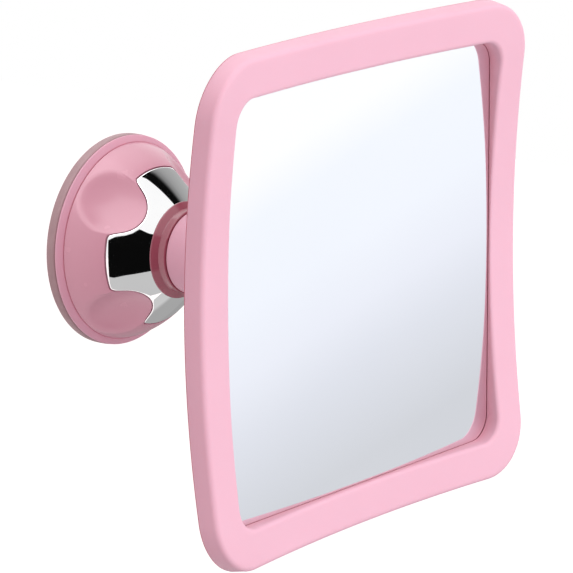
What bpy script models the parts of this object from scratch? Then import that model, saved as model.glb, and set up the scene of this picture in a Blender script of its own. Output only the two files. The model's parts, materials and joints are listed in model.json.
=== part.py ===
"""Fogless shower mirror: a dished square frame on a ball joint, held by a twist-lock suction mount.

Metres, +Z up. The wall is the plane Y = 0, the mount's axis is the Y axis, and the mirror faces -Y.
Pieces of the mount are drawn with local Z running out from the wall.
"""

import math

import bmesh
import bpy
from mathutils import Matrix, Vector

# Clearances shared by all pieces
GAP = 0.0003            # between pieces that touch, seat or run on each other
OVERRUN = 0.0020        # how far a cutter passes the face it opens
MERGE_DISTANCE = 0.000001  # points of a turned shape that meet on its axis

# Suction pad and the foot moulded into it
PAD_RADIUS = 0.0442
PAD_THICKNESS = 0.0045
PAD_EDGE = 0.0008
FOOT_THICKNESS = 0.0016
FOOT_COVER = 0.0013     # pad material between the foot and the wall

# Lift stud, its cross pin and its spring
STUD_RADIUS = 0.0040
STUD_TIP_RADIUS = 0.0034
STUD_TIP_LENGTH = 0.0055
SHOULDER_THICKNESS = 0.0020
SHOULDER_STEP = 0.0010  # from the pin hole to the shoulder
PIN_RADIUS = 0.0015
PIN_HEIGHT = 0.0200
LIFT_PER_RADIAN = 0.0019
TWIST = math.radians(90)
SPRING_WIRE = 0.0006
SPRING_LENGTH = 0.0108
SPRING_TURNS = 5
PLUG_THICKNESS = 0.0040
PLUG_BORE = 0.0015

# Base housing with the guide tube that carries everything
HOUSING_INSET = 0.0002  # behind the pad's edge
HOUSING_THICKNESS = 0.0022
HOUSING_EDGE = 0.0009
TUBE_BORE = 0.0066
TUBE_WALL = 0.0024
TUBE_END = 0.0030       # past the neck clip
WASHER_THICKNESS = 0.0010

# Lock knob: domed shell, finger bowls, hub and helical cam
LEDGE = 0.0029          # the housing's rim that shows round the knob
KNOB_WALL = 0.0024
DOME_RISE = 0.0273
DOME_SHOULDER_STEP = 0.0029
DOME_SHOULDER_RISE = 0.0122
HUB_BORE = 0.0156
HUB_WALL = 0.0024
HUB_CLEAR = 0.0030      # the hub stops this far above the skirt's edge
ARMS = 4
ARM_TURN = math.radians(3.3)
BOWL_RADIUS = 0.0350
BOWL_DEPTH = 0.0047
BOWL_PLACE_SHARE = 0.515
CAM_RAMP_MARGIN = math.radians(13)
CAM_STOP_HEIGHT = 0.0025

# Chrome star let into the knob's front
CHROME_THICKNESS = 0.0009
CHROME_LIP = 0.0006     # how far it reaches in under the collar
ARM_END_SHARE = 0.585

# Collar between the knob and the neck
COLLAR_HEIGHT = 0.0060
COLLAR_FLARE = 0.0028
COLLAR_FOOT = 0.0008
COLLAR_BAND = 0.0020
COLLAR_STEP = 0.0010
COLLAR_CLEAR = 0.0007

# Neck that turns on the guide tube
NECK_RADIUS = 0.0170
NECK_WALL = 0.0025
NECK_LENGTH = 0.0190
NECK_NOSE = 0.0060
NECK_NOSE_RADIUS = 0.0095
NECK_CAVITY = 0.0160
NECK_EDGE = 0.0006
BUSHING_LENGTH = 0.0075
CLIP_THICKNESS = 0.0012
CLIP_DEPTH = 0.0010
CLIP_WIDTH = 0.0042
CLIP_MOUTH = 0.0060

# Ball joint behind the mirror
BALL_RADIUS = 0.0120
STEM_RADIUS = 0.0055
STEM_LENGTH = 0.0115
FLANGE_RADIUS = 0.0090
FLANGE_THICKNESS = 0.0020
SHANK_RADIUS = 0.0040
SHANK_LENGTH = 0.0086
LINER_THICKNESS = 0.0021
LINER_MOUTH = math.radians(56)
LINER_END = math.radians(140)
SOCKET_WALL = 0.0025
SOCKET_FLOOR = 0.0020
RING_MOUTH = math.radians(62)
BOSS_WALL = 0.0050
BOSS_FLOOR = 0.0023
BOSS_SHELL = 0.0025
BOSS_FILLET = 0.0030
RING_SHOULDER = 0.0033

# Mirror frame: outline, dish and section
FRAME_WIDTH = 0.2000
FRAME_HEIGHT = 0.2000
FRAME_CORNER = 0.0229
FRAME_BOW = 0.0014      # how far the left and right sides bow out
BAND_ACROSS = 0.01525   # width of the frame's face at the left and right
BAND_UP = 0.01585       # and at the top and bottom
LIP_CORNER = 0.0100
DISH_ACROSS = 0.0072    # the left and right edges stand this far forward of the centre
DISH_UP = 0.00925       # and the top and bottom edges this far
LIP_RAISE = 0.0015
FRAME_DEPTH = 0.0081
FRAME_FLARE = 0.0011
FRAME_ROUND = 0.0022
LIP_ROUND = 0.0015
LIP_DEPTH_SHARE = 0.55  # most of the step down to the glass that the lip's rounding may take
FACE_THICKNESS = 0.0024
SKIRT_THICKNESS = 0.0024
SEAT_WIDTH = 0.0036
SEAT_STEP = 0.0004
MIRROR_REACH = 0.0318   # from the ball's centre to the dish's centre
MIRROR_RISE = 0.0019    # the frame's centre sits this far above the mount's axis
GLASS_LEVEL = 0.0054    # the mirror's face, forward of the dish's centre

# Mirror plate, foam and rear shell
PLATE_THICKNESS = 0.0030
PLATE_OVERLAP = 0.0027
FOAM_THICKNESS = 0.0022
FOAM_INSET = 0.0050
SHELL_WALL = 0.0022
SHELL_TURN = 0.0180     # width over which the shell curves from its rim to its flat back
TONGUE_THICKNESS = 0.0020
SEAL_HEIGHT = 0.0015
SEAL_INSET = 0.0002

# Screws
SCREW_FROM_END = 0.0380 # from the end of a side
SCREW_INSET = 0.0080
SCREW_RADIUS = 0.0013
SCREW_HEAD_RADIUS = 0.0024
SCREW_HEAD = 0.0015
SCREW_LENGTH = 0.0070
SCREW_SINK = 0.0010
POST_RADIUS = 0.0030
SCREW_PAD_RADIUS = 0.0036
SCREW_PAD_HEIGHT = 0.0008
SOCKET_SCREWS = 4
SOCKET_SCREW_RADIUS = 0.0011
SOCKET_SCREW_HEAD_RADIUS = 0.0018
SOCKET_SCREW_HEAD = 0.0013
SOCKET_SCREW_LENGTH = 0.0100
SOCKET_SCREW_DEPTH = 0.0032
RECESS_RADIUS_SHARE = 0.5
RECESS_DEPTH_SHARE = 0.55

# Facets
ROUND_STEPS = 48
INNER_STEPS = 28
SMALL_STEPS = 10
CORNER_STEPS = 5
SIDE_STEPS = 7
ARC_STEPS = 3
DOME_STEPS = 8
BALL_STEPS = 5
BOWL_STEPS = 36
STAR_STEPS = 4
CAM_STEPS = 72

# Heights above the wall, worked up the mount
housing_low = PAD_THICKNESS + GAP
housing_high = housing_low + HOUSING_THICKNESS
knob_low = housing_high + GAP
dome_high = knob_low + DOME_RISE
collar_low = dome_high + GAP
collar_high = collar_low + COLLAR_HEIGHT
neck_low = collar_high + GAP
neck_shoulder = neck_low + NECK_LENGTH
neck_high = neck_shoulder + NECK_NOSE
bushing_low = neck_low + GAP
bushing_high = bushing_low + BUSHING_LENGTH
clip_low = bushing_high + GAP
clip_high = clip_low + CLIP_THICKNESS
tube_high = clip_high + TUBE_END
flange_low = neck_high + GAP
flange_high = flange_low + FLANGE_THICKNESS
ball_height = flange_high + STEM_LENGTH + BALL_RADIUS
shoulder_low = PIN_HEIGHT + PIN_RADIUS + GAP + SHOULDER_STEP
shoulder_high = shoulder_low + SHOULDER_THICKNESS
spring_low = shoulder_high + GAP
spring_high = spring_low + SPRING_LENGTH
plug_low = spring_high + GAP
lift = LIFT_PER_RADIAN * TWIST

# Radii that follow their neighbours
housing_radius = PAD_RADIUS - HOUSING_INSET
knob_radius = housing_radius - LEDGE
tube_radius = TUBE_BORE + TUBE_WALL
foot_radius = TUBE_BORE - 2 * GAP  # the foot rises into the guide tube with the stud
collar_tip = NECK_RADIUS + GAP
collar_radius = collar_tip + COLLAR_FLARE
dome_front_radius = collar_radius + COLLAR_CLEAR
liner_inside = BALL_RADIUS + GAP
liner_outside = liner_inside + LINER_THICKNESS
socket_inside = liner_outside + GAP
socket_outside = socket_inside + SOCKET_WALL
boss_bore = socket_outside + GAP
boss_radius = boss_bore + BOSS_WALL
screw_circle = boss_bore + BOSS_WALL / 2

# Levels in the mirror's own frame, where zero is the centre of the dish
seat_level = GLASS_LEVEL + GAP
plate_low = GLASS_LEVEL - PLATE_THICKNESS
foam_high = plate_low - GAP
foam_low = foam_high - FOAM_THICKNESS
shell_inside = foam_low - GAP
shell_outside = shell_inside - SHELL_WALL
lip_width = FRAME_WIDTH - 2 * BAND_ACROSS
lip_height = FRAME_HEIGHT - 2 * BAND_UP
band = (BAND_ACROSS + BAND_UP) / 2
seal_drop = FACE_THICKNESS + GAP
tongue_drop = seal_drop + SEAL_HEIGHT + GAP
rim_drop = FRAME_DEPTH + GAP
tongue_outer = SKIRT_THICKNESS + GAP
tongue_inner = tongue_outer + TONGUE_THICKNESS


def clear_scene():
    for obj in list(bpy.data.objects):
        bpy.data.objects.remove(obj)


def new_collection(name):
    made = bpy.data.collections.new(name)
    bpy.context.scene.collection.children.link(made)
    return made


def new_material(name, colour, roughness, metallic=0.0):
    made = bpy.data.materials.new(name)
    made.use_nodes = True
    shader = made.node_tree.nodes["Principled BSDF"]
    shader.inputs["Base Color"].default_value = (*colour, 1.0)
    shader.inputs["Roughness"].default_value = roughness
    shader.inputs["Metallic"].default_value = metallic
    return made


clear_scene()
PARTS = new_collection("fogless_shower_mirror")
CUTTERS = new_collection("cutters")
PINK = new_material("satin_pink_plastic", (0.90, 0.52, 0.64), 0.38)
DOME_PINK = new_material("gloss_pink_plastic", (0.80, 0.42, 0.53), 0.25)
MAUVE = new_material("mauve_collar", (0.45, 0.20, 0.26), 0.18)
CHROME = new_material("chrome", (0.85, 0.85, 0.86), 0.06, 1.0)
GREY_RUBBER = new_material("grey_rubber", (0.36, 0.30, 0.31), 0.55)
SILVERED = new_material("mirror_face", (0.92, 0.93, 0.95), 0.02, 1.0)
WHITE_PLASTIC = new_material("white_inner_plastic", (0.80, 0.80, 0.78), 0.45)
STEEL = new_material("steel", (0.55, 0.56, 0.58), 0.30, 1.0)
FOAM = new_material("grey_foam", (0.25, 0.25, 0.26), 0.90)
SEAL = new_material("clear_silicone", (0.62, 0.62, 0.62), 0.60)


def new_empty(name, parent, location):
    made = bpy.data.objects.new(name, None)
    PARTS.objects.link(made)
    made.parent = parent
    made.location = location
    return made


MOUNT = new_empty("mount_axis", None, (0, 0, 0))
MOUNT.rotation_euler = (math.pi / 2, 0, 0)
BALL = new_empty("ball_centre", MOUNT, (0, 0, ball_height))
MIRROR = new_empty("mirror_centre", BALL, (0, MIRROR_RISE, MIRROR_REACH))


def add_object(name, mesh, parent, material):
    """Link a mesh under its parent, as a piece when it has a material and as a cutter when it has none."""
    made = bpy.data.objects.new(name, mesh)
    made.parent = parent
    if material is None:
        CUTTERS.objects.link(made)
        made.hide_render = True
        made.display_type = "WIRE"
    else:
        PARTS.objects.link(made)
        mesh.materials.append(material)
    return made


def finish_mesh(name, shape, smooth_angle=None):
    bmesh.ops.recalc_face_normals(shape, faces=shape.faces)
    mesh = bpy.data.meshes.new(name)
    shape.to_mesh(mesh)
    shape.free()
    if smooth_angle is not None:
        mesh.shade_smooth()
        mesh.set_sharp_from_angle(angle=smooth_angle)
    return mesh


SMOOTH = math.radians(35)


def turn(name, profile, parent, material, steps=INNER_STEPS, ring=False):
    """Turn a profile of (radius, height) pairs round local Z. It runs from the top down the outer side."""
    mesh = bpy.data.meshes.new(name)
    edges = [(i, i + 1) for i in range(len(profile) - 1)]
    if ring:
        edges.append((len(profile) - 1, 0))
    mesh.from_pydata([(radius, 0, height) for radius, height in profile], edges, [])
    made = add_object(name, mesh, parent, material)
    screw = made.modifiers.new("turn", "SCREW")
    screw.axis = "Z"
    screw.steps = steps
    screw.render_steps = steps
    screw.use_merge_vertices = True
    screw.merge_threshold = MERGE_DISTANCE
    screw.use_smooth_shade = material is not None
    return made


def cut(target, cutter, operation="DIFFERENCE"):
    made = target.modifiers.new(cutter.name, "BOOLEAN")
    made.operation = operation
    made.object = cutter
    made.solver = "EXACT"


def pillars(name, places, parent, steps=SMALL_STEPS):
    """One cutter of upright cylinders, each place being (x, y, radius, low, high)."""
    shape = bmesh.new()
    for x, y, radius, low, high in places:
        bmesh.ops.create_cone(
            shape, cap_ends=True, segments=steps, radius1=radius, radius2=radius,
            depth=high - low, matrix=Matrix.Translation((x, y, (low + high) / 2)),
        )
    return add_object(name, finish_mesh(name, shape), parent, None)


def block(name, size, centre, parent):
    shape = bmesh.new()
    stretch = Matrix.Diagonal((*size, 1))
    bmesh.ops.create_cube(shape, size=1, matrix=Matrix.Translation(centre) @ stretch)
    return add_object(name, finish_mesh(name, shape), parent, None)


def arc(centre, radius, start, end, steps=ARC_STEPS):
    """Points round (radius, height) centre, with angles from the outward direction towards up."""
    angles = [start + (end - start) * i / steps for i in range(steps + 1)]
    return [(centre[0] + radius * math.cos(a), centre[1] + radius * math.sin(a)) for a in angles]


QUARTER = math.pi / 2


def dome_point(share, offset=0.0):
    """A point on the dome's section, share 0 at the skirt and 1 at the front, moved out by offset."""
    start = Vector((knob_radius, knob_low))
    bend = Vector((knob_radius - DOME_SHOULDER_STEP, knob_low + DOME_SHOULDER_RISE))
    end = Vector((dome_front_radius, dome_high))
    rest = 1 - share
    place = start * rest * rest + bend * 2 * rest * share + end * share * share
    along = ((bend - start) * rest + (end - bend) * share).normalized()
    outward = Vector((along.y, -along.x))
    return place + outward * offset, outward, along


def dome_section(offset, high_share, low_share, steps):
    """Points down the dome's section from one share to a lower one."""
    shares = [high_share + (low_share - high_share) * i / steps for i in range(steps + 1)]
    return [tuple(dome_point(share, offset)[0]) for share in shares]


def bowls(name, clearance):
    """Spheres that scoop the finger bowls between the arms, grown by clearance."""
    surface, outward, along = dome_point(BOWL_PLACE_SHARE)
    centre = surface + outward * (BOWL_RADIUS - BOWL_DEPTH)
    shape = bmesh.new()
    for index in range(ARMS):
        angle = ARM_TURN + (index + 0.5) * math.tau / ARMS
        place = Matrix.Rotation(angle, 4, "Z") @ Matrix.Translation((centre.x, 0, centre.y))
        bmesh.ops.create_uvsphere(
            shape, u_segments=BOWL_STEPS, v_segments=BOWL_STEPS // 2,
            radius=BOWL_RADIUS + clearance, matrix=place,
        )
    return add_object(name, finish_mesh(name, shape), MOUNT, None)


def make_pad():
    foot_low = FOOT_COVER
    foot_high = foot_low + FOOT_THICKNESS + 2 * GAP
    turn("suction_pad", [
        (0, foot_low),
        (foot_radius + GAP, foot_low),
        (foot_radius + GAP, foot_high),
        (STUD_RADIUS + GAP, foot_high),
        (STUD_RADIUS + GAP, PAD_THICKNESS),
        (PAD_RADIUS - PAD_EDGE, PAD_THICKNESS),
        (PAD_RADIUS, PAD_THICKNESS - PAD_EDGE),
        (PAD_RADIUS, PAD_EDGE),
        (PAD_RADIUS - PAD_EDGE, 0),
        (0, 0),
    ], MOUNT, GREY_RUBBER, ROUND_STEPS)


def make_housing():
    groove = tube_radius - CLIP_DEPTH
    edge = HOUSING_EDGE
    rounded = arc((housing_radius - edge, housing_high - edge), edge, QUARTER, 0)
    housing = turn("base_housing", [
        (TUBE_BORE, tube_high),
        (tube_radius, tube_high),
        (tube_radius, clip_high + GAP),
        (groove, clip_high + GAP),
        (groove, clip_low - GAP),
        (tube_radius, clip_low - GAP),
        (tube_radius, housing_high),
        *rounded,
        (housing_radius, housing_low),
        (TUBE_BORE, housing_low),
    ], MOUNT, PINK, ROUND_STEPS, ring=True)
    slot_width = 2 * (PIN_RADIUS + GAP)
    slot_height = slot_width + lift
    size = (2 * (tube_radius + OVERRUN), slot_width, slot_height)
    cut(housing, block("pin_slots", size, (0, 0, PIN_HEIGHT + lift / 2), MOUNT))


def make_stud():
    foot_low = FOOT_COVER + GAP
    shoulder_radius = TUBE_BORE - GAP
    stud = turn("lift_stud", [
        (0, shoulder_high + STUD_TIP_LENGTH),
        (STUD_TIP_RADIUS, shoulder_high + STUD_TIP_LENGTH),
        (STUD_TIP_RADIUS, shoulder_high),
        (shoulder_radius, shoulder_high),
        (shoulder_radius, shoulder_low),
        (STUD_RADIUS, shoulder_low),
        (STUD_RADIUS, foot_low + FOOT_THICKNESS),
        (foot_radius, foot_low + FOOT_THICKNESS),
        (foot_radius, foot_low),
        (0, foot_low),
    ], MOUNT, STEEL)
    across = Matrix.Rotation(QUARTER, 4, "Y")
    place = Matrix.Translation((0, 0, PIN_HEIGHT)) @ across
    reach = (tube_radius + HUB_BORE) / 2 + PIN_RADIUS
    for name, radius, length, material in (
        ("pin_hole", PIN_RADIUS + GAP, STUD_RADIUS + OVERRUN, None),
        ("cross_pin", PIN_RADIUS, reach, STEEL),
    ):
        shape = bmesh.new()
        bmesh.ops.create_cone(
            shape, cap_ends=True, segments=SMALL_STEPS, radius1=radius, radius2=radius,
            depth=2 * length, matrix=place,
        )
        made = add_object(name, finish_mesh(name, shape, SMOOTH), MOUNT, material)
        if material is None:
            cut(stud, made)


def make_spring():
    """A compression spring round the stud's tip, one unbroken helix."""
    radius = (STUD_TIP_RADIUS + TUBE_BORE) / 2
    points_per_turn = 10
    count = SPRING_TURNS * points_per_turn
    low = spring_low + SPRING_WIRE
    rise = SPRING_LENGTH - 2 * SPRING_WIRE
    curve = bpy.data.curves.new("return_spring", "CURVE")
    curve.dimensions = "3D"
    curve.bevel_depth = SPRING_WIRE
    curve.bevel_resolution = 1
    curve.use_fill_caps = True
    spline = curve.splines.new("POLY")
    spline.points.add(count)
    for index, point in enumerate(spline.points):
        angle = index * math.tau / points_per_turn
        height = low + rise * index / count
        point.co = (radius * math.cos(angle), radius * math.sin(angle), height, 1)
    made = add_object("return_spring", curve, MOUNT, STEEL)
    made.data.splines[0].use_smooth = True
    print("return_spring: least gap between turns", rise / SPRING_TURNS - 2 * SPRING_WIRE)


def make_mount_rings():
    """The plain turned rings on the guide tube."""
    bore = tube_radius + GAP
    turn("thrust_washer", [
        (bore, housing_high + GAP + WASHER_THICKNESS),
        (HUB_BORE - GAP, housing_high + GAP + WASHER_THICKNESS),
        (HUB_BORE - GAP, housing_high + GAP),
        (bore, housing_high + GAP),
    ], MOUNT, WHITE_PLASTIC, ring=True)
    turn("spring_plug", [
        (PLUG_BORE, plug_low + PLUG_THICKNESS),
        (TUBE_BORE - GAP, plug_low + PLUG_THICKNESS),
        (TUBE_BORE - GAP, plug_low),
        (PLUG_BORE, plug_low),
    ], MOUNT, STEEL, ring=True)
    band_radius = collar_tip + COLLAR_STEP
    band_low = collar_high - COLLAR_BAND
    turn("neck_collar", [
        (bore, collar_high),
        (collar_tip, collar_high),
        (band_radius, collar_high - COLLAR_STEP),
        (band_radius, band_low),
        (collar_radius, collar_low + COLLAR_FOOT),
        (collar_radius, collar_low),
        (bore, collar_low),
    ], MOUNT, MAUVE, ROUND_STEPS, ring=True)
    turn("neck_bushing", [
        (bore, bushing_high),
        (NECK_RADIUS - NECK_WALL - GAP, bushing_high),
        (NECK_RADIUS - NECK_WALL - GAP, bushing_low),
        (bore, bushing_low),
    ], MOUNT, WHITE_PLASTIC, ring=True)
    clip_bore = tube_radius - CLIP_DEPTH + GAP
    clip_radius = clip_bore + CLIP_WIDTH
    clip = turn("neck_clip", [
        (clip_bore, clip_high),
        (clip_radius, clip_high),
        (clip_radius, clip_low),
        (clip_bore, clip_low),
    ], MOUNT, STEEL, ring=True)
    mouth = (clip_radius + OVERRUN, CLIP_MOUTH, CLIP_THICKNESS + 2 * OVERRUN)
    centre = (mouth[0] / 2, 0, (clip_low + clip_high) / 2)
    cut(clip, block("clip_mouth", mouth, centre, MOUNT))


def make_knob():
    hub_radius = HUB_BORE + HUB_WALL
    inside = dome_section(-KNOB_WALL, 1, 0, DOME_STEPS // 2)
    cavity = turn("knob_cavity", [
        (hub_radius, inside[0][1]),
        *inside,
        (knob_radius - KNOB_WALL, knob_low - OVERRUN),
        (hub_radius, knob_low - OVERRUN),
    ], MOUNT, None, ROUND_STEPS, ring=True)
    cut(cavity, bowls("bowl_walls", KNOB_WALL))
    hub_end = pillars("hub_end", [
        (0, 0, hub_radius + GAP, knob_low - OVERRUN, knob_low + HUB_CLEAR),
    ], MOUNT, ROUND_STEPS)
    pocket = dome_section(-CHROME_THICKNESS - GAP, 1, ARM_END_SHARE, STAR_STEPS)
    flank = dome_section(0, ARM_END_SHARE, 0, DOME_STEPS)
    slack = dome_point(ARM_END_SHARE)[2] * GAP
    step_low = tuple(Vector(pocket[-1]) - slack)
    step_high = tuple(Vector(flank[0]) - slack)
    lip_radius = collar_radius - CHROME_LIP - GAP
    knob = turn("knob_dome", [
        (HUB_BORE, dome_high),
        (lip_radius, dome_high),
        (lip_radius, pocket[0][1]),
        *pocket[:-1],
        step_low,
        step_high,
        *flank[1:],
        (HUB_BORE, knob_low),
    ], MOUNT, DOME_PINK, ROUND_STEPS, ring=True)
    cut(knob, bowls("finger_bowls", 0))
    cut(knob, cavity)
    cut(knob, hub_end)


def make_star():
    """The chrome cover: a ring flush with the dome, which the bowls leave as arms."""
    inner = dome_section(-CHROME_THICKNESS, 1, ARM_END_SHARE, STAR_STEPS)
    outer = dome_section(0, 1, ARM_END_SHARE, STAR_STEPS)
    lip_radius = collar_radius - CHROME_LIP
    star = turn("chrome_star", [
        (lip_radius, inner[0][1]),
        (lip_radius, outer[0][1]),
        *outer,
        *reversed(inner),
    ], MOUNT, CHROME, ROUND_STEPS, ring=True)
    cut(star, bowls("star_bowls", GAP / 2))


def make_cam():
    """The helical cam: two ramps under the cross pin, with stops between them."""
    low = housing_high + WASHER_THICKNESS + 2 * GAP
    slope = LIFT_PER_RADIAN / (tube_radius + GAP)
    ramp_low = PIN_HEIGHT - PIN_RADIUS * math.hypot(1, slope) - GAP
    stop = ramp_low + lift + CAM_STOP_HEIGHT
    steps = CAM_STEPS
    ends = (-CAM_RAMP_MARGIN, TWIST + CAM_RAMP_MARGIN)
    shape = bmesh.new()
    loops = []
    for index in range(steps):
        angle = math.tau * index / steps
        turned = (angle - ends[0]) % math.pi + ends[0]
        ramp = ramp_low + LIFT_PER_RADIAN * min(max(turned, 0), TWIST)
        high = ramp if turned <= ends[1] else stop
        across = (math.cos(angle), math.sin(angle))
        corners = (
            (tube_radius + GAP, low), (tube_radius + GAP, high),
            (HUB_BORE - GAP, high), (HUB_BORE - GAP, low),
        )
        loops.append([
            shape.verts.new((radius * across[0], radius * across[1], height))
            for radius, height in corners
        ])
    for index, loop in enumerate(loops):
        following = loops[(index + 1) % steps]
        for side in range(len(loop)):
            other = (side + 1) % len(loop)
            shape.faces.new((loop[side], following[side], following[other], loop[other]))
    add_object("cam_ring", finish_mesh("cam_ring", shape), MOUNT, WHITE_PLASTIC)


def make_neck():
    nose_side = NECK_RADIUS - NECK_NOSE_RADIUS
    nose = [
        (NECK_NOSE_RADIUS + nose_side * math.cos(a), neck_shoulder + NECK_NOSE * math.sin(a))
        for a in [QUARTER * (1 - i / ARC_STEPS) for i in range(ARC_STEPS + 1)]
    ]
    cavity_high = neck_low + NECK_CAVITY
    bore = SHANK_RADIUS + GAP
    turn("neck_tube", [
        (bore, neck_high),
        *nose,
        (NECK_RADIUS, neck_low + NECK_EDGE),
        (NECK_RADIUS - NECK_EDGE, neck_low),
        (NECK_RADIUS - NECK_WALL, neck_low),
        (NECK_RADIUS - NECK_WALL, cavity_high),
        (bore, cavity_high),
    ], MOUNT, PINK, ROUND_STEPS, ring=True)


def sphere_arc(radius, start, end, steps=BALL_STEPS):
    """Points on a sphere, with angles measured from the wall side of the ball joint's axis."""
    angles = [start + (end - start) * i / steps for i in range(steps + 1)]
    return [(radius * math.sin(a), -radius * math.cos(a)) for a in angles]


def make_ball_joint():
    stem_angle = math.asin(STEM_RADIUS / BALL_RADIUS)
    flange_top = flange_high - ball_height
    flange_bottom = flange_low - ball_height
    ball_side = sphere_arc(BALL_RADIUS, math.pi, stem_angle, 2 * BALL_STEPS)
    ball_side[0] = (0, BALL_RADIUS)
    turn("ball_stud", [
        *ball_side,
        (STEM_RADIUS, flange_top),
        (FLANGE_RADIUS, flange_top),
        (FLANGE_RADIUS, flange_bottom),
        (SHANK_RADIUS, flange_bottom),
        (SHANK_RADIUS, flange_bottom - SHANK_LENGTH),
        (0, flange_bottom - SHANK_LENGTH),
    ], BALL, STEEL)
    turn("ball_liner", [
        *sphere_arc(liner_inside, LINER_MOUTH, LINER_END),
        *sphere_arc(liner_outside, LINER_END, LINER_MOUTH),
    ], BALL, WHITE_PLASTIC, ring=True)
    cup = sphere_arc(socket_inside, QUARTER, math.pi)
    cup[-1] = (0, socket_inside)
    turn("ball_socket", [
        (0, socket_inside + SOCKET_FLOOR),
        (socket_outside, socket_inside + SOCKET_FLOOR),
        (socket_outside, 0),
        *cup,
    ], BALL, WHITE_PLASTIC)
    mouth = sphere_arc(socket_inside, RING_MOUTH, QUARTER)
    ring_low = mouth[0][1]
    ring = turn("socket_ring", [
        (socket_inside, -GAP),
        (boss_radius, -GAP),
        (boss_radius, -RING_SHOULDER),
        (boss_radius - RING_SHOULDER, ring_low),
        *mouth[:-1],
    ], BALL, PINK, ring=True)
    holes = []
    for index in range(SOCKET_SCREWS):
        angle = (index + 0.5) * math.tau / SOCKET_SCREWS
        x = screw_circle * math.cos(angle)
        y = screw_circle * math.sin(angle)
        name = f"socket_screw_{index + 1}"
        head_low = -SOCKET_SCREW_DEPTH - GAP - SOCKET_SCREW_HEAD
        make_screw(
            name, (x, y, head_low), BALL, SOCKET_SCREW_RADIUS,
            SOCKET_SCREW_HEAD_RADIUS, SOCKET_SCREW_HEAD, SOCKET_SCREW_LENGTH,
        )
        holes.append((x, y))
    bore = SOCKET_SCREW_RADIUS + GAP
    sink = SOCKET_SCREW_HEAD_RADIUS + GAP
    low = ring_low - OVERRUN
    cut(ring, pillars("ring_holes", [(x, y, bore, low, OVERRUN) for x, y in holes], BALL))
    sinks = [(x, y, sink, low, -SOCKET_SCREW_DEPTH) for x, y in holes]
    cut(ring, pillars("ring_sinks", sinks, BALL))
    return holes


def make_screw(name, place, parent, radius, head_radius, head, length):
    """A screw with its head towards the wall and a round recess in the head."""
    recess = head_radius * RECESS_RADIUS_SHARE
    depth = head * RECESS_DEPTH_SHARE
    made = turn(name, [
        (0, head + length),
        (radius, head + length),
        (radius, head),
        (head_radius, head),
        (head_radius, 0),
        (recess, 0),
        (recess, depth),
        (0, depth),
    ], parent, STEEL, SMALL_STEPS)
    made.location = place


def rounded_square(half_x, half_y, corner, bow=0.0):
    """Points round a rounded rectangle whose left and right sides bow out."""
    points = []
    signs = ((1, 1), (-1, 1), (-1, -1), (1, -1))
    for index, (sign_x, sign_y) in enumerate(signs):
        centre = Vector((sign_x * (half_x - corner), sign_y * (half_y - corner)))
        for step in range(CORNER_STEPS + 1):
            angle = QUARTER * (index + step / CORNER_STEPS)
            points.append(centre + corner * Vector((math.cos(angle), math.sin(angle))))
        next_x, next_y = signs[(index + 1) % len(signs)]
        next_centre = Vector((next_x * (half_x - corner), next_y * (half_y - corner)))
        side = Vector((math.cos(angle), math.sin(angle))) * corner
        for step in range(1, SIDE_STEPS):
            points.append(centre.lerp(next_centre, step / SIDE_STEPS) + side)
    for point in points:
        point.x += bow * (1 - (point.y / half_y) ** 2) * point.x / half_x
    return points


def frame_outline(inset):
    """The frame's outline moved in by inset, which becomes the lip's outline at the band's width."""
    share = inset / band
    return rounded_square(
        FRAME_WIDTH / 2 - share * BAND_ACROSS,
        FRAME_HEIGHT / 2 - share * BAND_UP,
        FRAME_CORNER + share * (LIP_CORNER - FRAME_CORNER),
        FRAME_BOW * (1 - share),
    )


def dish_level(x, y, inset=0.0):
    """How far the front face stands forward of the dish's centre."""
    across = DISH_ACROSS * (2 * x / FRAME_WIDTH) ** 2
    up = DISH_UP * (2 * y / FRAME_HEIGHT) ** 2
    return across + up + LIP_RAISE * max(inset, 0) / band


def dished_ring(inset, drop):
    """The outline at inset, a constant drop behind the front face."""
    return [(p.x, p.y, dish_level(p.x, p.y, inset) - drop) for p in frame_outline(inset)]


def flat_ring(inset, level):
    return [(p.x, p.y, level) for p in frame_outline(inset)]


def shell_level(flat_level, rim_level, share):
    """A level on the shell's curve, share 0 at its rim and 1 where it meets the flat back."""
    return rim_level + (flat_level - rim_level) * math.sin(QUARTER * share)


def blended_ring(inset, flat_level, rim_levels, share):
    """The outline at inset, on the curve from each rim level back to the flat level."""
    return [
        (p.x, p.y, shell_level(flat_level, rim, share))
        for p, rim in zip(frame_outline(inset), rim_levels)
    ]


def round_ring(radius, level):
    """A circle about the mount's axis, with one point for each point of the outline."""
    points = []
    for p in frame_outline(band):
        direction = Vector((p.x, p.y)).normalized()
        points.append((radius * direction.x, radius * direction.y - MIRROR_RISE, level))
    return points


def loft(name, rings, material, capped=False):
    """Skin between rings of equal length: a tube round the opening, or a solid capped at both ends."""
    shape = bmesh.new()
    rows = [[shape.verts.new(point) for point in ring] for ring in rings]
    count = len(rows[0])
    last = len(rows) - 1 if capped else len(rows)
    for index in range(last):
        row = rows[index]
        following = rows[(index + 1) % len(rows)]
        for side in range(count):
            other = (side + 1) % count
            shape.faces.new((row[side], row[other], following[other], following[side]))
    if capped:
        shape.faces.new(rows[0])
        shape.faces.new(rows[-1])
    return add_object(name, finish_mesh(name, shape, SMOOTH), MIRROR, material)


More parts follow.
